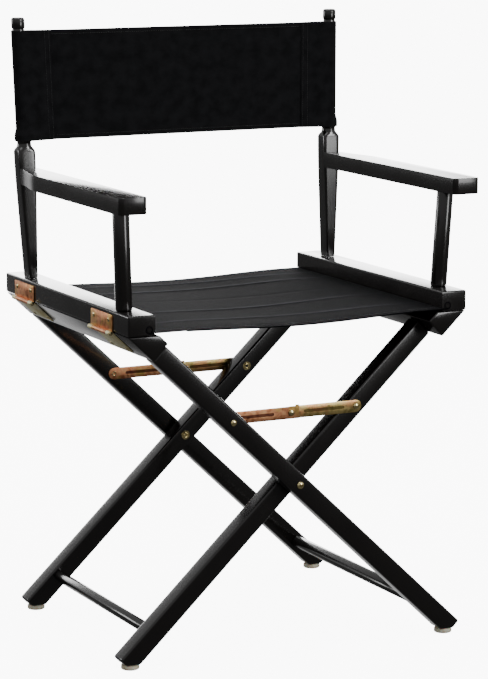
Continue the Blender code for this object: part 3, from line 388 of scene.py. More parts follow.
# ---------------------------------------------------------------- seat rails
def seat_rail(name, side):
    """Rail section drawn with its canvas groove and slot, which show at the rail's ends."""
    slot_low, slot_high = GROOVE_Z - HEM_RADIUS - 0.0005, GROOVE_Z - HEM_RADIUS + CANVAS + 0.0005
    radius = HEM_RADIUS + CLEAR
    opening = math.pi + math.asin((GROOVE_Z - slot_high) / radius)
    outline = [(RAIL_INNER, RAIL_TOP), (RAIL_INNER, slot_high)]
    outline += arc((GROOVE_X, GROOVE_Z), radius, opening, -math.pi / 2, 32)
    outline += [(GROOVE_X, slot_low)]
    outline += [(RAIL_INNER, slot_low), (RAIL_INNER, RAIL_BOTTOM), (RAIL_OUTER, RAIL_BOTTOM),
                (RAIL_OUTER, RAIL_TOP)]
    bm = prism(mirrored(outline, side), MIDDLE_Y - HALF_LENGTH, MIDDLE_Y + HALF_LENGTH)
    corners = [(side * x, z) for x in (RAIL_INNER, RAIL_OUTER) for z in (RAIL_BOTTOM, RAIL_TOP)]

    def outside(edge):
        if abs(edge.verts[0].co.y - edge.verts[1].co.y) > 0.1:
            x, _, z = edge.verts[0].co
            return any(abs(x - cx) < 1e-5 and abs(z - cz) < 1e-5 for cx, cz in corners)
        spots = [(v.co.x, v.co.z) for v in edge.verts]
        return all(abs(abs(x) - RAIL_OUTER) < 1e-5 or abs(z - RAIL_TOP) < 1e-5
                   or abs(z - RAIL_BOTTOM) < 1e-5 for x, z in spots)

    rounded(bm, 0.003, outside, 5)
    piece(f"{name}_seat_rail", bm, BEECH, f"{name}_side", [f"{name}_seat_rail"], (0, 1, 0))
    dowel = turned((side * GROOVE_X, MIDDLE_Y - HALF_LENGTH, GROOVE_Z), (0, 1, 0), (
        (0, DOWEL_RADIUS - 0.0003), (0.0003, DOWEL_RADIUS),
        (2 * HALF_LENGTH - 0.0003, DOWEL_RADIUS), (2 * HALF_LENGTH, DOWEL_RADIUS - 0.0003)), 24)
    piece(f"{name}_seat_dowel", dowel, STAINED_BIRCH, f"{name}_side", [f"{name}_seat_dowel"],
          (0, 1, 0))


# ---------------------------------------------------------------- posts and arms
def front_axis(side, z):
    rise = z - RAIL_TOP
    return (side * (RAIL_OUTER - 0.0156 + rise * 0.045),
            MIDDLE_Y - HALF_LENGTH + 0.0495 - rise * 0.040)


def rear_axis(side, z):
    rise = z - RAIL_TOP
    return (side * (RAIL_OUTER - 0.0160 + rise * 0.024),
            MIDDLE_Y + HALF_LENGTH - 0.0560 + rise * 0.042)


def level_ring(centre, half_x, half_y, power, z, count=64):
    ring = []
    for i in range(count):
        turn = 2 * math.pi * (i + 0.5) / count
        c, s = math.cos(turn), math.sin(turn)
        ring.append((centre[0] + half_x * math.copysign(abs(c) ** (2 / power), c),
                     centre[1] + half_y * math.copysign(abs(s) ** (2 / power), s), z))
    return ring


def front_post(name, side):
    """Turned post: a small fillet at each end, a straight shank between them."""
    low, high, r = RAIL_TOP + 0.0001, ARM_TOP - ARM_THICKNESS - CLEAR, 0.01125
    profile = ((low, r - 0.0012), (low + 0.0010, r - 0.0004), (low + 0.0022, r - 0.0001),
               (low + 0.004, r), (high - 0.0015, r), (high, r - 0.0006))
    rings = [level_ring(front_axis(side, z), k, k, 2, z, 48) for z, k in profile]
    piece(f"{name}_front_post", loft(rings), BEECH, f"{name}_side", [f"{name}_front_post"],
          (side * 0.045, -0.040, 1))


REAR_PROFILE = (
    # height, half width, half depth, squareness: board, shoulder, neck, bead, dowel, knob
    (RAIL_TOP + 0.0001, 0.0062, 0.0116, 6), (RAIL_TOP + 0.0015, 0.0065, 0.0120, 8),
    (0.530, 0.0083, 0.0120, 8), (0.575, 0.0102, 0.0120, 8), (0.6195, 0.0120, 0.0120, 8),
    (0.6415, 0.0125, 0.0120, 8), (0.6635, 0.0130, 0.0120, 7), (0.6662, 0.0127, 0.0117, 5),
    (0.6682, 0.0121, 0.0111, 3.4), (0.6700, 0.0112, 0.0107, 2.5), (0.6712, 0.0106, 0.0105, 2.1),
    (0.6725, 0.0103, 0.0103, 2), (0.6750, 0.0098, 0.0098, 2), (0.6772, 0.0098, 0.0098, 2),
    (0.6786, 0.0107, 0.0107, 2), (0.6795, 0.0112, 0.0112, 2), (0.6815, 0.0115, 0.0115, 2),
    (0.6835, 0.0115, 0.0115, 2), (0.6855, 0.0105, 0.0105, 2), (0.6875, 0.0090, 0.0090, 2),
    (0.8333, 0.0090, 0.0090, 2), (0.8345, 0.0084, 0.0084, 2), (0.8356, 0.0084, 0.0084, 2),
    (0.8367, 0.0092, 0.0092, 2), (0.8380, 0.0095, 0.0095, 2), (0.8478, 0.0095, 0.0095, 2),
    (0.8492, 0.0091, 0.0091, 2), (0.8503, 0.0081, 0.0081, 2), (0.8508, 0.0068, 0.0068, 2),
    (CHAIR_TOP, 0.0050, 0.0050, 2),
)


def rear_post(name, side):
    rings = [level_ring(rear_axis(side, z), a, b, p, z) for z, a, b, p in REAR_PROFILE]
    piece(f"{name}_rear_post", loft(rings), BEECH, f"{name}_side", [f"{name}_rear_post"],
          (side * 0.024, 0.042, 1), sharp=50)


def armrest(name, side):
    """Flat arm whose outer side runs in an S to the rear post; its end is cut to the post."""
    front, r, steps = MIDDLE_Y - HALF_LENGTH - ARM_OVERHANG, 0.007, 20
    inner = ARM_OUTER - ARM_WIDTH
    rings = []
    for z in (ARM_TOP - ARM_THICKNESS, ARM_TOP):
        post_x, post_y = rear_axis(1, z)
        rear, neck = post_y - 0.012 - CLEAR, post_x + 0.013
        points = arc((inner + r, front + r), r, -math.pi, -math.pi / 2, 8)
        points += arc((ARM_OUTER - r, front + r), r, -math.pi / 2, 0, 8)
        for i in range(steps + 1):
            t = i / steps
            points.append((ARM_OUTER + (neck - ARM_OUTER) * t * t * (3 - 2 * t),
                           rear - 0.090 * (1 - t)))
        points.append((inner, rear))
        rings.append([(side * x, y, z) for x, y in points])
    bm = rounded(loft(rings), 0.0028, lambda e: e.verts[0].co.y < 0.14 or e.verts[1].co.y < 0.14)
    piece(f"{name}_armrest", bm, BEECH, f"{name}_side", [f"{name}_armrest"], (0, 1, 0))


# ---------------------------------------------------------------- leg frames
def leg_rail(frame_name, side, name):
    low, face_end = -LEG / 2, FACE_START + LEG_RAIL_FACE
    high = low + LEG_RAIL_DEPTH
    corners = ((FACE_START, low), (face_end, low), (face_end, high),
               (FACE_START + LEG_RAIL_DEPTH * LEG_COS / LEG_SIN, high))
    half = HALF_LENGTH - 0.001
    bm = prism([frame_point(side, *c) for c in corners], MIDDLE_Y - half, MIDDLE_Y + half)
    rounded(bm, 0.0022, segments=4)
    piece(f"{name}_leg_rail", bm, BEECH, f"{frame_name}_frame", [f"{name}_leg_rail"], (0, 1, 0))


def leg(frame_name, side, leg_y, end_name, end):
    """Square leg with rounded edges; its foot is cut across, with a level facet on the glide."""
    low, high = -LEG / 2, LEG / 2

    def foot_along(across):
        return (PIVOT_HEIGHT - GLIDE_HEIGHT + across * LEG_COS) / LEG_SIN

    top = FACE_START + LEG_RAIL_FACE + CLEAR
    step = low + 0.020 * LEG_SIN
    foot = foot_along(step)
    corners = ((top, low), (top, high), (foot, high), (foot, step), (foot_along(low), low))
    y = MIDDLE_Y + end * leg_y
    bm = prism([frame_point(side, *c) for c in corners], y - LEG / 2, y + LEG / 2)
    rounded(bm, 0.003, segments=5)
    piece(f"{frame_name}_{end_name}_leg", bm, BEECH, f"{frame_name}_frame",
          [f"{frame_name}_{end_name}_leg"], (side * LEG_COS, 0, -LEG_SIN))
    x = frame_point(side, foot_along(low), low)[0] + side * 0.010
    r, rise = GLIDE_RADIUS, GLIDE_HEIGHT - CLEAR
    glide = turned((x, y, 0), (0, 0, 1), (
        (0, 0.004), (0, r - 0.0018), (0.0003, r - 0.0010), (0.0009, r - 0.0003), (0.0018, r),
        (rise - 0.0020, r), (rise - 0.0006, r - 0.0003), (rise, r - 0.0012), (rise, 0.003)), 56)
    piece(f"{frame_name}_{end_name}_glide", glide, NYLON, f"{frame_name}_frame",
          [f"{frame_name}_{end_name}_glide"])


def stretcher(frame_name, side, leg_y, name):
    """Oval bar between a frame's feet."""
    x, z = frame_point(side, (PIVOT_HEIGHT - 0.047) / LEG_SIN, 0)
    reach = leg_y - LEG / 2 - CLEAR
    rings = []
    for y, slim in ((-reach, 0.0010), (-reach + 0.0006, 0.0003), (-reach + 0.0014, 0),
                    (reach - 0.0014, 0), (reach - 0.0006, 0.0003), (reach, 0.0010)):
        ring = level_ring((0, 0), 0.0075 - slim, 0.0090 - slim, 2.6, 0, 48)
        rings.append([(x + side * (a * LEG_COS + b * LEG_SIN), MIDDLE_Y + y,
                       z - a * LEG_SIN + b * LEG_COS) for a, b, _ in ring])
    piece(f"{name}_stretcher", loft(rings), BEECH, f"{frame_name}_frame", [f"{name}_stretcher"],
          (0, 1, 0))


# ---------------------------------------------------------------- hinges
def leaf_section(wood_angle, turn, length):
    """Section of a leaf whose edge is rolled round the pin."""
    centre = (HINGE_X, HINGE_Z)
    roll_end = wood_angle - turn * math.radians(300)
    away = wood_angle + turn * math.pi / 2
    sheet = Vector((math.cos(away), math.sin(away))) * length
    outside = arc(centre, BARREL, wood_angle, roll_end, 30)
    inside = arc(centre, BORE, roll_end, wood_angle, 30)
    return outside, inside, sheet


def leaf_piece(name, side, wood_angle, turn, length, start, stop, knuckles, finish, body):
    """A stamped leaf: a plate with rounded far corners, and the rolled knuckles it leaves."""
    outside, inside, sheet = leaf_section(wood_angle, turn, length)
    bm = bmesh.new()
    for low, high in knuckles:
        prism(mirrored(outside + inside, side), low, high, bm)
    near = (Vector(outside[0]), Vector(inside[-1]))
    along = sheet.normalized()
    # The plate's outline in its own plane, with 2.5 mm corners at its far edge
    reach, r = sheet.length, 0.0025
    flat = [(0.0, start), (0.0, stop)]
    flat += [(reach - r + r * math.sin(t), stop - r + r * math.cos(t))
             for t in (0, math.pi / 8, math.pi / 4, 3 * math.pi / 8, math.pi / 2)]
    flat += [(reach - r + r * math.cos(t), start + r - r * math.sin(t))
             for t in (0, math.pi / 8, math.pi / 4, 3 * math.pi / 8, math.pi / 2)]
    rings = []
    for base in near:
        rings.append([(side * (base.x + along.x * d), y, base.y + along.y * d) for d, y in flat])
    plate = loft(rings)
    rounded(plate, 0.0003, segments=2)
    mesh = mesh_from(plate, "plate")
    bm.from_mesh(mesh)
    bpy.data.meshes.remove(mesh)
    piece(name, bm, finish, body, [name])


def hinge(side_name, side, frame_name, end):
    start, stop = HINGE_SPANS[end]
    name = f"{side_name}_{end}_hinge"
    upper_length = RAIL_TOP - 0.005 - HINGE_Z
    leaf_piece(f"{name}_upper_leaf", side, math.pi, -1, upper_length, start, stop,
               ((start + KNUCKLE + CLEAR, stop - KNUCKLE - CLEAR),), COPPER_ZINC,
               f"{side_name}_side")
    lower_angle = math.pi - (math.pi / 2 - LEG_ANGLE)
    leaf_piece(f"{name}_lower_leaf", side, lower_angle, 1, 0.043, start, stop,
               ((start, start + KNUCKLE - CLEAR), (stop - KNUCKLE + CLEAR, stop)), PALE_ZINC,
               f"{frame_name}_frame")
    pin = turned((side * HINGE_X, start - 0.0010, HINGE_Z), (0, 1, 0), (
        (0, 0.0012), (0.0003, 0.0021), (0.0007, 0.0027), (0.0010, 0.0027), (0.0010, 0.00145),
        (0.0710, 0.00145), (0.0710, 0.0027), (0.0713, 0.0027), (0.0717, 0.0021),
        (0.0720, 0.0012)), 28)
    piece(f"{name}_pin", pin, BRASS, f"{frame_name}_frame", [f"{name}_pin"])


def upper_screws(side):
    """Places of the upper leaves' screws, with the way they face."""
    z = RAIL_TOP - 0.005 - 0.008
    for start, stop in HINGE_SPANS.values():
        for y in (start + 0.0105, stop - 0.0105):
            yield Vector((side * (RAIL_OUTER + 2 * CLEAR + LEAF), y, z)), Vector((side, 0, 0))


def lower_screws(side):
    """Places of the lower leaves' screws, on the sloping face of the leg rail."""
    outside, _, sheet = leaf_section(math.pi / 2 + LEG_ANGLE, 1, 0.043)
    along = sheet.normalized()
    out = Vector((math.cos(LEG_ANGLE - math.pi / 2), math.sin(LEG_ANGLE - math.pi / 2)))
    base = Vector((HINGE_X, HINGE_Z)) + along * 0.0365
    base += (Vector(outside[0]) - Vector((HINGE_X, HINGE_Z))) * (BORE / BARREL)
    for start, stop in HINGE_SPANS.values():
        for y in (start + 0.0105, stop - 0.0105):
            yield Vector((side * base.x, y, base.y)), Vector((side * out.x, 0, out.y))


def screw_head():
    """Countersunk head of a 2.6 mm wood screw with a straight slot, facing +Z from its seat."""
    r, rise = 0.0032, 0.0010
    bm = turned((0, 0, 0), (0, 0, 1), [(-0.0002, r)] + dome(0, r, rise, 5), 28)
    head = added("screw_head", mesh_from(bm, "screw_head"))
    slot_bm = bmesh.new()
    bmesh.ops.create_cube(slot_bm, size=1)
    bmesh.ops.scale(slot_bm, verts=slot_bm.verts, vec=(0.0080, 0.0008, 0.0012))
    bmesh.ops.translate(slot_bm, verts=slot_bm.verts, vec=(0, 0, rise))
    slot = added("slot", mesh_from(slot_bm, "slot"))
    cut = head.modifiers.new("slot", "BOOLEAN")
    cut.operation, cut.solver, cut.object = "DIFFERENCE", "EXACT", slot
    made = finished_mesh(head)
    bpy.data.objects.remove(head)
    bpy.data.objects.remove(slot)
    made.shade_smooth()
    made.set_sharp_from_angle(angle=math.radians(35))
    return added("screw_head_shape", made)


# ---------------------------------------------------------------- repeats, by geometry nodes
def repeat_tree():
    """Put one shape on every point of a mesh, turned to face along the point's 'facing' and spun
    by a random turn about it. Inputs: Shape, Finish, Spin, Seed."""
    tree = bpy.data.node_groups.new("place_on_points", "GeometryNodeTree")
    face = tree.interface
    face.new_socket("Geometry", in_out="INPUT", socket_type="NodeSocketGeometry")
    for label, kind in (("Shape", "NodeSocketObject"), ("Finish", "NodeSocketMaterial"),
                        ("Spin", "NodeSocketFloat"), ("Seed", "NodeSocketInt")):
        face.new_socket(label, in_out="INPUT", socket_type=kind)
    face.new_socket("Geometry", in_out="OUTPUT", socket_type="NodeSocketGeometry")
    given = node(tree, "NodeGroupInput").outputs
    facing = node(tree, "GeometryNodeInputNamedAttribute", data_type="FLOAT_VECTOR",
                  i_Name="facing").outputs["Attribute"]
    side = node(tree, "GeometryNodeInputNamedAttribute", data_type="FLOAT_VECTOR",
                i_Name="along").outputs["Attribute"]
    lean = node(tree, "FunctionNodeAxesToRotation", {"Primary Axis": facing,
                                                     "Secondary Axis": side},
                primary_axis="Z", secondary_axis="X")
    low = node(tree, "ShaderNodeMath", {0: given["Spin"]}, operation="MULTIPLY")
    low.inputs[1].default_value = -1.0
    chance = node(tree, "FunctionNodeRandomValue", {"Seed": given["Seed"]}, data_type="FLOAT")
    tree.links.new(low.outputs[0], chance.inputs[2])
    tree.links.new(given["Spin"], chance.inputs[3])
    spin = node(tree, "FunctionNodeAxisAngleToRotation", {"Angle": chance.outputs[1]})
    spin.inputs["Axis"].default_value = (0, 0, 1)
    turn = node(tree, "FunctionNodeRotateRotation", {"Rotation": lean.outputs["Rotation"],
                                                     "Rotate By": spin.outputs["Rotation"]},
                rotation_space="LOCAL")
    shape = node(tree, "GeometryNodeObjectInfo", {"Object": given["Shape"]})
    placed = node(tree, "GeometryNodeInstanceOnPoints", {
        "Points": given["Geometry"], "Instance": shape.outputs["Geometry"],
        "Rotation": turn.outputs["Rotation"]})
    real = node(tree, "GeometryNodeRealizeInstances", {"Geometry": placed.outputs["Instances"]})
    done = node(tree, "GeometryNodeSetMaterial", {"Geometry": real.outputs["Geometry"],
                                                  "Material": given["Finish"]})
    node(tree, "NodeGroupOutput", {"Geometry": done.outputs["Geometry"]})
    return tree


PLACE_ON_POINTS = repeat_tree()


def repeated(name, shape, finish, places, body=None, spin=0.0, seed=7):
    """Repeat a shape at (place, facing, along) triples, as one plain mesh."""
    mesh = bpy.data.meshes.new(name)
    mesh.from_pydata([tuple(p) for p, _, _ in places], [], [])
    for label, index in (("facing", 1), ("along", 2)):
        data = mesh.attributes.new(label, "FLOAT_VECTOR", "POINT").data
        for item, place in zip(data, places):
            item.vector = place[index]
    points = added(name + "_points", mesh)
    modifier = points.modifiers.new("repeat", "NODES")
    modifier.node_group = PLACE_ON_POINTS
    sockets = {s.name: s.identifier for s in PLACE_ON_POINTS.interface.items_tree
               if s.in_out == "INPUT"}
    modifier[sockets["Shape"]] = shape
    modifier[sockets["Finish"]] = finish
    modifier[sockets["Spin"]] = spin
    modifier[sockets["Seed"]] = seed
    made = finished_mesh(points)
    bpy.data.objects.remove(points)
    made.name = name
    obj = added(name, made)
    if body:
        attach(obj, body)
    return obj


# ---------------------------------------------------------------- main pivots and braces
def washer(start, end, thickness, hole, radius):
    edge = min(0.0003, thickness / 3)
    profile = ((0, hole), (0, radius - edge), (edge, radius), (thickness - edge, radius),
               (thickness, radius - edge), (thickness, hole))
    return turned(start, (0, end, 0), profile, 48, around=True)


def ring_tail(base, radius, height):
    """Rolled tail of a semi-tubular rivet: a ring round a hollow."""
    hollow = radius * 0.42
    crest = (radius + hollow) / 2
    lip = [(base - height * math.sin(t), crest - (crest - hollow) * math.cos(t))
           for t in (0.5, 1.0, math.pi / 2)]
    rim = [(base - height * math.sin(t), crest + (radius - crest) * math.cos(t))
           for t in (1.1, 0.6, 0.1)]
    return [(base + 0.0006, hollow * 0.5), (base + 0.0006, hollow * 0.92)] + lip + rim + [
        (base, radius)]


def main_pivot(end_name, end):
    inner_face, outer_face = INNER_LEG_Y - LEG / 2, OUTER_LEG_Y + LEG / 2
    tail = inner_face - 2 * CLEAR - 0.0011
    reach = outer_face + CLEAR - tail
    profile = ring_tail(-reach, 0.0042, 0.0016) + [(-reach, 0.0030), (0, 0.0030), (0, 0.0050)]
    profile += dome(0.0002, 0.0052, 0.0026)
    base = (0, MIDDLE_Y + end * (outer_face + CLEAR), PIVOT_HEIGHT)
    piece(f"{end_name}_pivot_rivet", turned(base, (0, end, 0), profile), BRASS, "outer_frame",
          [f"{end_name}_pivot_rivet"])
    for name, start, thickness, radius in (
            (f"{end_name}_pivot_washer", tail + CLEAR, 0.0011, 0.0066),
            (f"{end_name}_pivot_spacer", INNER_LEG_Y + LEG / 2 + CLEAR, 0.0031, 0.0100)):
        at = (0, MIDDLE_Y + end * start, PIVOT_HEIGHT)
        piece(name, washer(at, end, thickness, 0.0033, radius), BRASS, "outer_frame", [name])


def brace_link(end_name, end, frame_name, finish):
    """Stamped link. A bead is pressed along its middle, so both faces show a groove."""
    outer = frame_name == "outer"
    side = -1 if outer else 1
    outer_face = OUTER_LEG_Y - LEG / 2 - CLEAR
    face = outer_face if outer else outer_face - LINK_THICKNESS - CLEAR
    back = face - LINK_THICKNESS
    half = LINK_WIDTH / 2

    def placed(points, offset):
        return [(side * (BRACE_X - x), MIDDLE_Y + end * offset, BRACE_Z + z) for x, z in points]

    outline = arc((0, 0), half, math.pi / 2, 3 * math.pi / 2, 20)
    if outer:
        outline += [(BRACE_X + LINK_END, -half), (BRACE_X + LINK_END, half)]
    else:
        outline += arc((BRACE_X, 0), half, -math.pi / 2, math.pi / 2, 20)
    bm = rounded(loft([placed(outline, back), placed(outline, face)]), 0.00025, segments=2)
    r, floor = 0.0022, 0.00055
    groove = arc((0.018 + r, 0), r, math.pi / 2, 3 * math.pi / 2, 8)
    groove += arc((BRACE_X - (0.026 if outer else 0.020) - r, 0), r, -math.pi / 2, math.pi / 2, 8)
    cutter = bmesh.new()
    for offsets in ((back - 0.001, back + floor), (face - floor, face + 0.001)):
        loft([placed(groove, o) for o in offsets], cutter)
    tool = added("groove", mesh_from(cutter, "groove"))
    name = f"{end_name}_brace_{frame_name}_link"
    if outer:
        tip = back - CLEAR - LINK_THICKNESS
        section = ((face, half - 0.0012), (face, half + 0.0009), (face - 0.0006, half + 0.0015),
                   (tip, half + 0.0015), (tip, half + CLEAR), (back, half + CLEAR),
                   (back, half - 0.0012))
        rings = [[(side * (BRACE_X - x), MIDDLE_Y + end * d, BRACE_Z + z) for d, z in section]
                 for x in (BRACE_X + 0.0075, BRACE_X + LINK_END)]
        loft(rings, bm)
    plain = added("plain_link", mesh_from(bm, name))
    cut = plain.modifiers.new("groove", "BOOLEAN")
    cut.operation, cut.solver, cut.object = "DIFFERENCE", "EXACT", tool
    cut.use_self = True
    made = finished_mesh(plain)
    bpy.data.objects.remove(plain)
    bpy.data.objects.remove(tool)
    bm = bmesh.new()
    bm.from_mesh(made)
    bpy.data.meshes.remove(made)
    # Painted shade: faces down in the groove get a darker copy of the plating
    low, high = sorted(MIDDLE_Y + end * o for o in (back + 0.0002, face - 0.0002))
    for spot in bm.faces:
        centre = spot.calc_center_median()
        painted_groove_shade = low < centre.y < high and abs(centre.z - BRACE_Z) < r + 0.0003
        spot.material_index = int(painted_groove_shade and 0.012 < BRACE_X - side * centre.x < BRACE_X - 0.012)
    obj = piece(name, bm, finish, f"{end_name}_brace_{frame_name}", [name], sharp=30)
    obj.data.materials.append(GROOVE_SHADES[finish])


def brace_rivets(end_name, end):
    outer_face = OUTER_LEG_Y - LEG / 2 - CLEAR
    back = outer_face - LINK_THICKNESS
    head = [(0, 0.0043)] + dome(0.0002, 0.0045, 0.0022)

    def rivet(name, body, x, base, length, tail_radius):
        tail = ring_tail(-length, tail_radius, 0.0010) if tail_radius else []
        shank = tail + [(-length, 0.0020), (0, 0.0020)]
        made = turned((x, MIDDLE_Y + end * base, BRACE_Z), (0, end, 0), shank + head, 32)
        piece(name, made, BRASS, body, [name])

    base = OUTER_LEG_Y + LEG / 2 + CLEAR
    rivet(f"{end_name}_brace_outer_rivet", "outer_frame", -BRACE_X, base, base - back + CLEAR,
          0.0036)
    rivet(f"{end_name}_brace_inner_rivet", "inner_frame", BRACE_X, back,
          back - (INNER_LEG_Y - LEG / 2) + CLEAR, 0.0042)
    # A flat ring under the inner rivet's tail spreads its pull over the wood
    ring = washer((BRACE_X, MIDDLE_Y + end * (INNER_LEG_Y - LEG / 2 - CLEAR), BRACE_Z), -end,
                  0.0007, 0.0043, 0.0064)
    piece(f"{end_name}_brace_tail_ring", ring, BRASS, "inner_frame")
    rivet(f"{end_name}_brace_middle_rivet", f"{end_name}_brace_outer", 0, outer_face + CLEAR,
          LINK_THICKNESS + CLEAR, 0)


# ---------------------------------------------------------------- cloth
def cloth_grid(name, rows, finish, uvs):
    """One sheet of cloth through rows of points; thick() gives it its thickness by a modifier."""
    count = len(rows[0])
    points = [p for row in rows for p in row]
    faces = []
    for i in range(len(rows) - 1):
        for j in range(count - 1):
            a = i * count + j
            faces.append((a, a + 1, a + count + 1, a + count))
    mesh = bpy.data.meshes.new(name)
    mesh.from_pydata(points, [], faces)
    layer = mesh.uv_layers.new(name="cloth")
    flat = [uv for row in uvs for uv in row]
    for loop in mesh.loops:
        layer.data[loop.index].uv = flat[loop.vertex_index]
    mesh.materials.append(finish)
    mesh.shade_smooth()
    return added(name, mesh)


def thick(obj, thickness, offset):
    """Give a sheet its thickness for good."""
    wall = obj.modifiers.new("thickness", "SOLIDIFY")
    wall.thickness, wall.offset, wall.use_even_offset = thickness, offset, False
    made = finished_mesh(obj)
    obj.modifiers.clear()
    old = obj.data
    obj.data = made
    bpy.data.meshes.remove(old)
    made.set_sharp_from_angle(angle=math.radians(50))
    return obj


# Ridges that folding and storing left in the seat, by distance from its front edge
SEAT_CREASES = ((0.066, 0.0007), (0.150, 0.0009), (0.235, -0.0004), (0.324, 0.0010),
                (0.381, 0.0008))
# Beyond this the cloth runs flat into the rails' slots, as it must when the chair folds
SEAT_FLAT_FROM = 0.172
SEAT_FRONT, SEAT_REAR = MIDDLE_Y - HALF_LENGTH, MIDDLE_Y + HALF_LENGTH


def seat_height(x, y):
    """Upper face of the seat canvas between the rails."""
    across = min(1.0, abs(x) / SEAT_FLAT_FROM)
    height = GROOVE_Z - HEM_RADIUS + CANVAS - SEAT_SAG * (1 - across * across) ** 2
    fade = (1 - across * across) ** 0.5
    for place, rise in SEAT_CREASES:
        off = crease_offset(place, x, y) / 0.0055
        height += rise * fade * math.exp(-off * off)
    # Slack pulls the free edges down a little in the middle
    for edge in (SEAT_FRONT, SEAT_REAR):
        height -= 0.0008 * fade * math.exp(-((y - edge) / 0.02) ** 2)
    return height


def crease_offset(place, x, y):
    """Distance across a crease that wanders a little along the seat's width."""
    return y - SEAT_FRONT - place - 0.004 * math.sin(11 * x + 40 * place)


def crest_highlight_share(x, y):
    """Share of painted highlight, from 0 to 1, on the crests of the folds and just beyond them."""
    worn = 0.0
    fade = max(0.0, 1 - (x / 0.215) ** 4)
    for place, rise in SEAT_CREASES:
        if rise > 0:
            uneven = 0.55 + 0.45 * math.sin(23 * x + 90 * place)
            worn += 0.8 * uneven * math.exp(-((crease_offset(place, x, y) - 0.001) / 0.0022) ** 2)
            worn += 0.25 * math.exp(-((crease_offset(place, x, y) - 0.004) / 0.009) ** 2)
    return min(1.0, worn * fade)


def seat_canvas():
    """The seat: a sheet between the rails, its sides sewn round the dowels, its free edges
    turned under and stitched."""
    columns = 90 if FINE else 40
    rows = 260 if FINE else 120
    xs = np.linspace(-GROOVE_X + 0.0001, GROOVE_X - 0.0001, columns)
    ys = np.linspace(SEAT_FRONT + 0.0006, SEAT_REAR - 0.0006, rows)
    grid, uvs = [], []
    for y in ys:
        grid.append([(float(x), float(y), seat_height(x, y)) for x in xs])
        uvs.append([(float(x), float(y)) for x in xs])
    sheet = cloth_grid("seat_panel", grid, SHADED_SEAT_CLOTH, uvs)
    # Painted highlight along the fold crests, a share per point
    worn = sheet.data.attributes.new("worn", "FLOAT", "POINT").data
    for vertex, value in zip(sheet.data.vertices, worn):
        value.value = crest_highlight_share(vertex.co.x, vertex.co.y)
    panel = thick(sheet, CANVAS, -1)
    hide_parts("seat_canvas")
    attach(panel, "left_side")
    parts = [panel]
    # Edges turned under: a second layer 14 mm wide below the free edges
    for label, edge, inward in (("front", SEAT_FRONT, 1), ("rear", SEAT_REAR, -1)):
        strip, flat = [], []
        under = [float(x) for x in xs if abs(x) < SEAT_FLAT_FROM]
        for i in range(7):
            y = edge + inward * (0.0006 + 0.014 * i / 6)
            strip.append([(x, y, seat_height(x, y) - CANVAS - 0.0001) for x in under])
            flat.append([(x, y) for x in under])
        if inward < 0:
            strip.reverse()
            flat.reverse()
        hem = thick(cloth_grid(f"seat_{label}_hem", strip, SHADED_SEAT_CLOTH, flat), 0.0008, -1)
        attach(hem, "left_side")
        parts.append(hem)
        stitches = []
        for x in np.arange(-GROOVE_X + 0.013, GROOVE_X - 0.013, 0.0034):
            y = edge + inward * 0.0120
            stitches.append((Vector((x, y, seat_height(x, y) + 0.0001)), Vector((0, 0, 1)),
                             Vector((1, 0, 0))))
        thread = repeated(f"seat_{label}_stitches", STITCH, THREAD, stitches, "left_side")
        parts.append(thread)
    for part in parts:
        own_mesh(part)
    # Rolls of canvas round the dowels, inside the grooves
    for name, side in SIDES:
        mid = HEM_RADIUS - CANVAS / 2
        turn = arc((GROOVE_X, GROOVE_Z), mid, -math.pi / 2, -math.pi / 2 + SEAT_ROLL, 40)
        rows_roll = [[(side * x, y, z) for x, z in turn] for y in (SEAT_FRONT, SEAT_REAR)]
        lengths = [i * mid * SEAT_ROLL / 40 for i in range(41)]
        uv_roll = [[(length, y) for length in lengths] for y in (SEAT_FRONT, SEAT_REAR)]
        roll = thick(cloth_grid(f"{name}_seat_hem", rows_roll, SHADED_SEAT_CLOTH, uv_roll), CANVAS, 0)
        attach(roll, f"{name}_side")


def sleeve_radius(z):
    """Inside of the back canvas's sleeve, which widens over the post's bead."""
    t = min(1.0, max(0.0, (z - BACK_BOTTOM - 0.0065) / 0.012))
    bead = 0.0115 + (0.0090 - 0.0115) * t * t * (3 - 2 * t)
    return bead + CLEAR


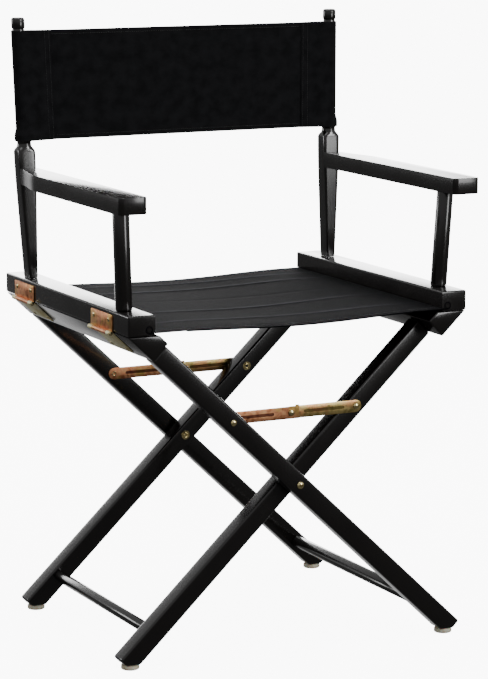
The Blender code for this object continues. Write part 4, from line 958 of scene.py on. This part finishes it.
def back_canvas():
    """The back: a panel, and a sleeve round each post, closed by two rows of stitches."""
    rows = 60 if FINE else 24
    zs = np.linspace(BACK_BOTTOM, BACK_TOP, rows)
    sleeves, widths = [], []

    def slack(px, z):
        """A shallow wave over the middle of the panel, which is flat near the sleeves."""
        level = max(0.0, 1 - (px / 0.14) ** 2)
        return 0.0013 * level * math.sin(8 * px + 1.2) * math.sin(9 * (z - BACK_BOTTOM) + 1.7)

    for name, side in SIDES:
        for_rows, uvs = [], []
        for z in zs:
            x, y = rear_axis(1, z)
            radius = sleeve_radius(z) + CANVAS / 2
            opening = math.acos((radius - CANVAS) / SEAM_FROM_POST)
            loop = arc((x, y), radius, math.pi + opening, 3 * math.pi - opening, 48)
            seam = x - SEAM_FROM_POST
            front = [(seam + (loop[0][0] - seam) * t, y - CANVAS * 1.02 + (loop[0][1] - y
                      + CANVAS * 1.02) * t) for t in (0, 0.25, 0.5, 0.75)]
            rear = [(px, 2 * y - py) for px, py in reversed(front)]
            points = front + loop + rear
            for_rows.append([(side * px, py, float(z)) for px, py in points])
            gone, run = 0.0, [0.0]
            for a, b in zip(points, points[1:]):
                gone += math.dist(a, b)
                run.append(gone)
            uvs.append([(u, float(z)) for u in run])
        sleeve = thick(cloth_grid(f"{name}_back_sleeve", for_rows, LIT_BACK_CLOTH, uvs), CANVAS, 0)
        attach(sleeve, f"{name}_side")
        sleeves.append(sleeve)
        widths.append(run[-1])
    # The panel: its edges go 4 mm in between the sleeves' two layers
    columns = 80 if FINE else 36
    for_rows, uvs = [], []
    for z in zs:
        x, y = rear_axis(1, z)
        seam = x - SEAM_FROM_POST
        line = np.linspace(-seam - 0.004, seam + 0.004, columns)
        for_rows.append([(float(px), y + slack(px, z), float(z)) for px in line])
        uvs.append([(float(px), float(z)) for px in line])
    panel = thick(cloth_grid("back_panel", for_rows, LIT_BACK_CLOTH, uvs), CANVAS, 0)
    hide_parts("back_canvas")
    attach(panel, "left_side")
    # Stitches: two rows beside each seam, and one along each free edge of the panel
    seam_threads = []
    for name, side in SIDES:
        places = []
        for off in (0.0025, 0.0095):
            for z in np.arange(BACK_BOTTOM + 0.003, BACK_TOP - 0.002, 0.0032):
                x, y = rear_axis(1, z)
                px = x - SEAM_FROM_POST + off
                radius = sleeve_radius(z) + CANVAS / 2
                share = off / (SEAM_FROM_POST - 0.2 * radius)
                for face in (-1, 1):
                    lift = CANVAS * 1.52 + (0.98 * radius - CANVAS * 1.02) * share + 0.0001
                    places.append((Vector((side * px, y + face * lift, z)),
                                   Vector((0, face, 0)), Vector((0, 0, 1))))
        seam_threads.append(repeated(f"{name}_back_seam_stitches", STITCH, THREAD, places,
                                     f"{name}_side"))
    places = []
    for z in (BACK_BOTTOM + 0.006, BACK_TOP - 0.006):
        x, y = rear_axis(1, z)
        seam = x - SEAM_FROM_POST
        for px in np.arange(-seam + 0.004, seam - 0.004, 0.0034):
            for face in (-1, 1):
                lift = slack(px, z) + face * (CANVAS * 0.5 + 0.0001)
                places.append((Vector((px, y + lift, z)), Vector((0, face, 0)),
                               Vector((1, 0, 0))))
    hem_threads = repeated("back_hem_stitches", STITCH, THREAD, places, "left_side")
    # Folded flat, the seams stand 23 mm apart on both sides of this line, and 27 mm at the top
    # because the posts lean out
    folded_middle, share = -0.1855, 0.068
    for part in (panel, hem_threads):
        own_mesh(part)
    for (name, _), sleeve, width, threads in zip(SIDES, sleeves, widths, seam_threads):
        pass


def stitch_shape():
    """One lockstitch, 2.4 mm of thread that dips into the cloth at both ends."""
    rings = []
    for i in range(7):
        t = i / 6
        x, z = 0.0024 * (t - 0.5), 0.00022 * math.sin(math.pi * t) - 0.00008
        r = 0.00026 * (0.55 + 0.45 * math.sin(math.pi * t))
        rings.append([(x, r * math.cos(a), z + r * math.sin(a))
                      for a in (k * math.pi / 3 for k in range(6))])
    bm = loft(rings)
    mesh = mesh_from(bm, "stitch_shape")
    mesh.shade_smooth()
    return added("stitch_shape", mesh)


# ---------------------------------------------------------------- the whole chair
STITCH = stitch_shape()
SCREW_HEAD = screw_head()
for side_name, side in SIDES:
    seat_rail(side_name, side)
    front_post(side_name, side)
    rear_post(side_name, side)
    armrest(side_name, side)
    frame_name = "outer" if side < 0 else "inner"
    for end, _ in ENDS:
        hinge(side_name, side, frame_name, end)
    upper = [(p, f, Vector((0, 1, 0))) for p, f in upper_screws(side)]
    lower = [(p, f, Vector((0, 1, 0))) for p, f in lower_screws(side)]
    screws = repeated(f"{side_name}_upper_leaf_screws", SCREW_HEAD, BRASS, upper,
                      f"{side_name}_side", spin=1.5, seed=3 if side < 0 else 4)
    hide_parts(*[f"{side_name}_{end}_hinge_screw_{n}" for end, _ in ENDS for n in (1, 2)])
    repeated(f"{side_name}_lower_leaf_screws", SCREW_HEAD, BRASS, lower, f"{frame_name}_frame",
             spin=1.5, seed=5 if side < 0 else 6)
for frame_name, side, leg_y in (("outer", 1, OUTER_LEG_Y), ("inner", -1, INNER_LEG_Y)):
    leg_rail(frame_name, side, "left" if side > 0 else "right")
    stretcher(frame_name, side, leg_y, "right" if side > 0 else "left")
    for end_name, end in ENDS:
        leg(frame_name, side, leg_y, end_name, end)
for end_name, end in ENDS:
    main_pivot(end_name, end)
    brace_link(end_name, end, "outer", COPPER_ZINC)
    brace_link(end_name, end, "inner", OLIVE_ZINC)
    brace_rivets(end_name, end)
seat_canvas()
back_canvas()
for helper in (STITCH, SCREW_HEAD):
    bpy.data.objects.remove(helper)

# ---------------------------------------------------------------- camera, floor and lights
camera_data = bpy.data.cameras.new("camera")
camera = added("camera", camera_data)
camera.location = (-1.66905, -3.39770, 1.07227)
camera.rotation_euler = (math.radians(90 - 10.0684), 0, math.radians(-26.3032))
camera_data.sensor_width = 36
camera_data.lens = 2737.66 / 679 * 36
camera_data.shift_x, camera_data.shift_y = 0.0070, 0.0038
camera_data.clip_end = 200
bpy.context.scene.camera = camera


def stage_plane(name, size, colour):
    bm = bmesh.new()
    bmesh.ops.create_grid(bm, x_segments=1, y_segments=1, size=size)
    mesh = mesh_from(bm, name)
    mesh.materials.append(material(name + "_paper", colour, 0.9)[0])
    obj = added(name, mesh)
    return obj


floor = stage_plane("floor", 60, "#f4f4f4")
# The floor lights itself a little, as white paper over a light table does, and gloss doesn't see it
paper = floor.data.materials[0].node_tree.nodes["Principled BSDF"]
paper.inputs["Emission Color"].default_value = (1, 1, 1, 1)
paper.inputs["Emission Strength"].default_value = 9.0
floor.visible_glossy = floor.visible_diffuse = False


def softbox(name, place, target, size, power):
    lamp = bpy.data.lights.new(name, "AREA")
    lamp.shape, lamp.size, lamp.size_y = "RECTANGLE", size[0], size[1]
    lamp.energy = power
    obj = added(name, lamp)
    obj.location = place
    obj.rotation_mode = "QUATERNION"
    obj.rotation_quaternion = (Vector(target) - Vector(place)).to_track_quat("-Z", "Y")
    obj.visible_camera = False
    return obj


softbox("top_softbox", (-0.3, 0.2, 3.0), (0, 0, 0.4), (2.2, 2.2), 30)
softbox("left_softbox", (-2.5, 2.6, 1.1), (-0.2, 0, 0.45), (0.8, 1.0), 16)
softbox("low_front_softbox", (1.6, -3.0, 0.9), (0, 0, 0.35), (1.0, 0.8), 18)
softbox("front_softbox", (1.9, -3.2, 2.2), (0, 0, 0.4), (0.8, 0.8), 40)


# Brightness of the wall, and of the room at its bottom and top
WALL, ROOM_LOW, ROOM_HIGH = 8.0, 0.10, 0.5


def studio_world():
    """Bright wall behind the chair, dim room before it and below it."""
    world = bpy.data.worlds.new("studio")
    bpy.context.scene.world = world
    world.use_nodes = True
    tree = world.node_tree
    way = node(tree, "ShaderNodeTexCoord").outputs["Generated"]
    height = node(tree, "ShaderNodeSeparateXYZ", {"Vector": way}).outputs["Z"]
    behind = node(tree, "ShaderNodeVectorMath", {0: way}, operation="DOT_PRODUCT")
    behind.inputs[1].default_value = (0.443, 0.896, 0)

    # Each ramp is a smooth step: what it follows, from, to, and its values there
    ramps = ((behind.outputs["Value"], 0.76, 0.92, 0.0, 1.0), (height, -0.10, 0.04, 0.6, WALL),
             (height, 0.20, 0.32, 0.0, 0.6 - WALL), (height, -0.08, 0.20, ROOM_LOW, ROOM_HIGH))
    lobe, rise, fall, room = [
        node(tree, "ShaderNodeMapRange", {"Value": value}, interpolation_type="SMOOTHSTEP",
             i_From_Min=low, i_From_Max=high, i_To_Min=start, i_To_Max=end).outputs["Result"]
        for value, low, high, start, end in ramps]
    wall = node(tree, "ShaderNodeMath", {0: rise, 1: fall}, operation="ADD").outputs[0]
    # The wall shows inside the lobe and the room outside it: room + lobe * (wall - room)
    gain = node(tree, "ShaderNodeMath", {0: wall, 1: room}, operation="SUBTRACT").outputs[0]
    total = node(tree, "ShaderNodeMath", {0: gain, 1: lobe, 2: room}, operation="MULTIPLY_ADD")
    background = tree.nodes["Background"]
    tree.links.new(total.outputs[0], background.inputs["Strength"])
    background.inputs["Color"].default_value = (1, 1, 1, 1)


studio_world()
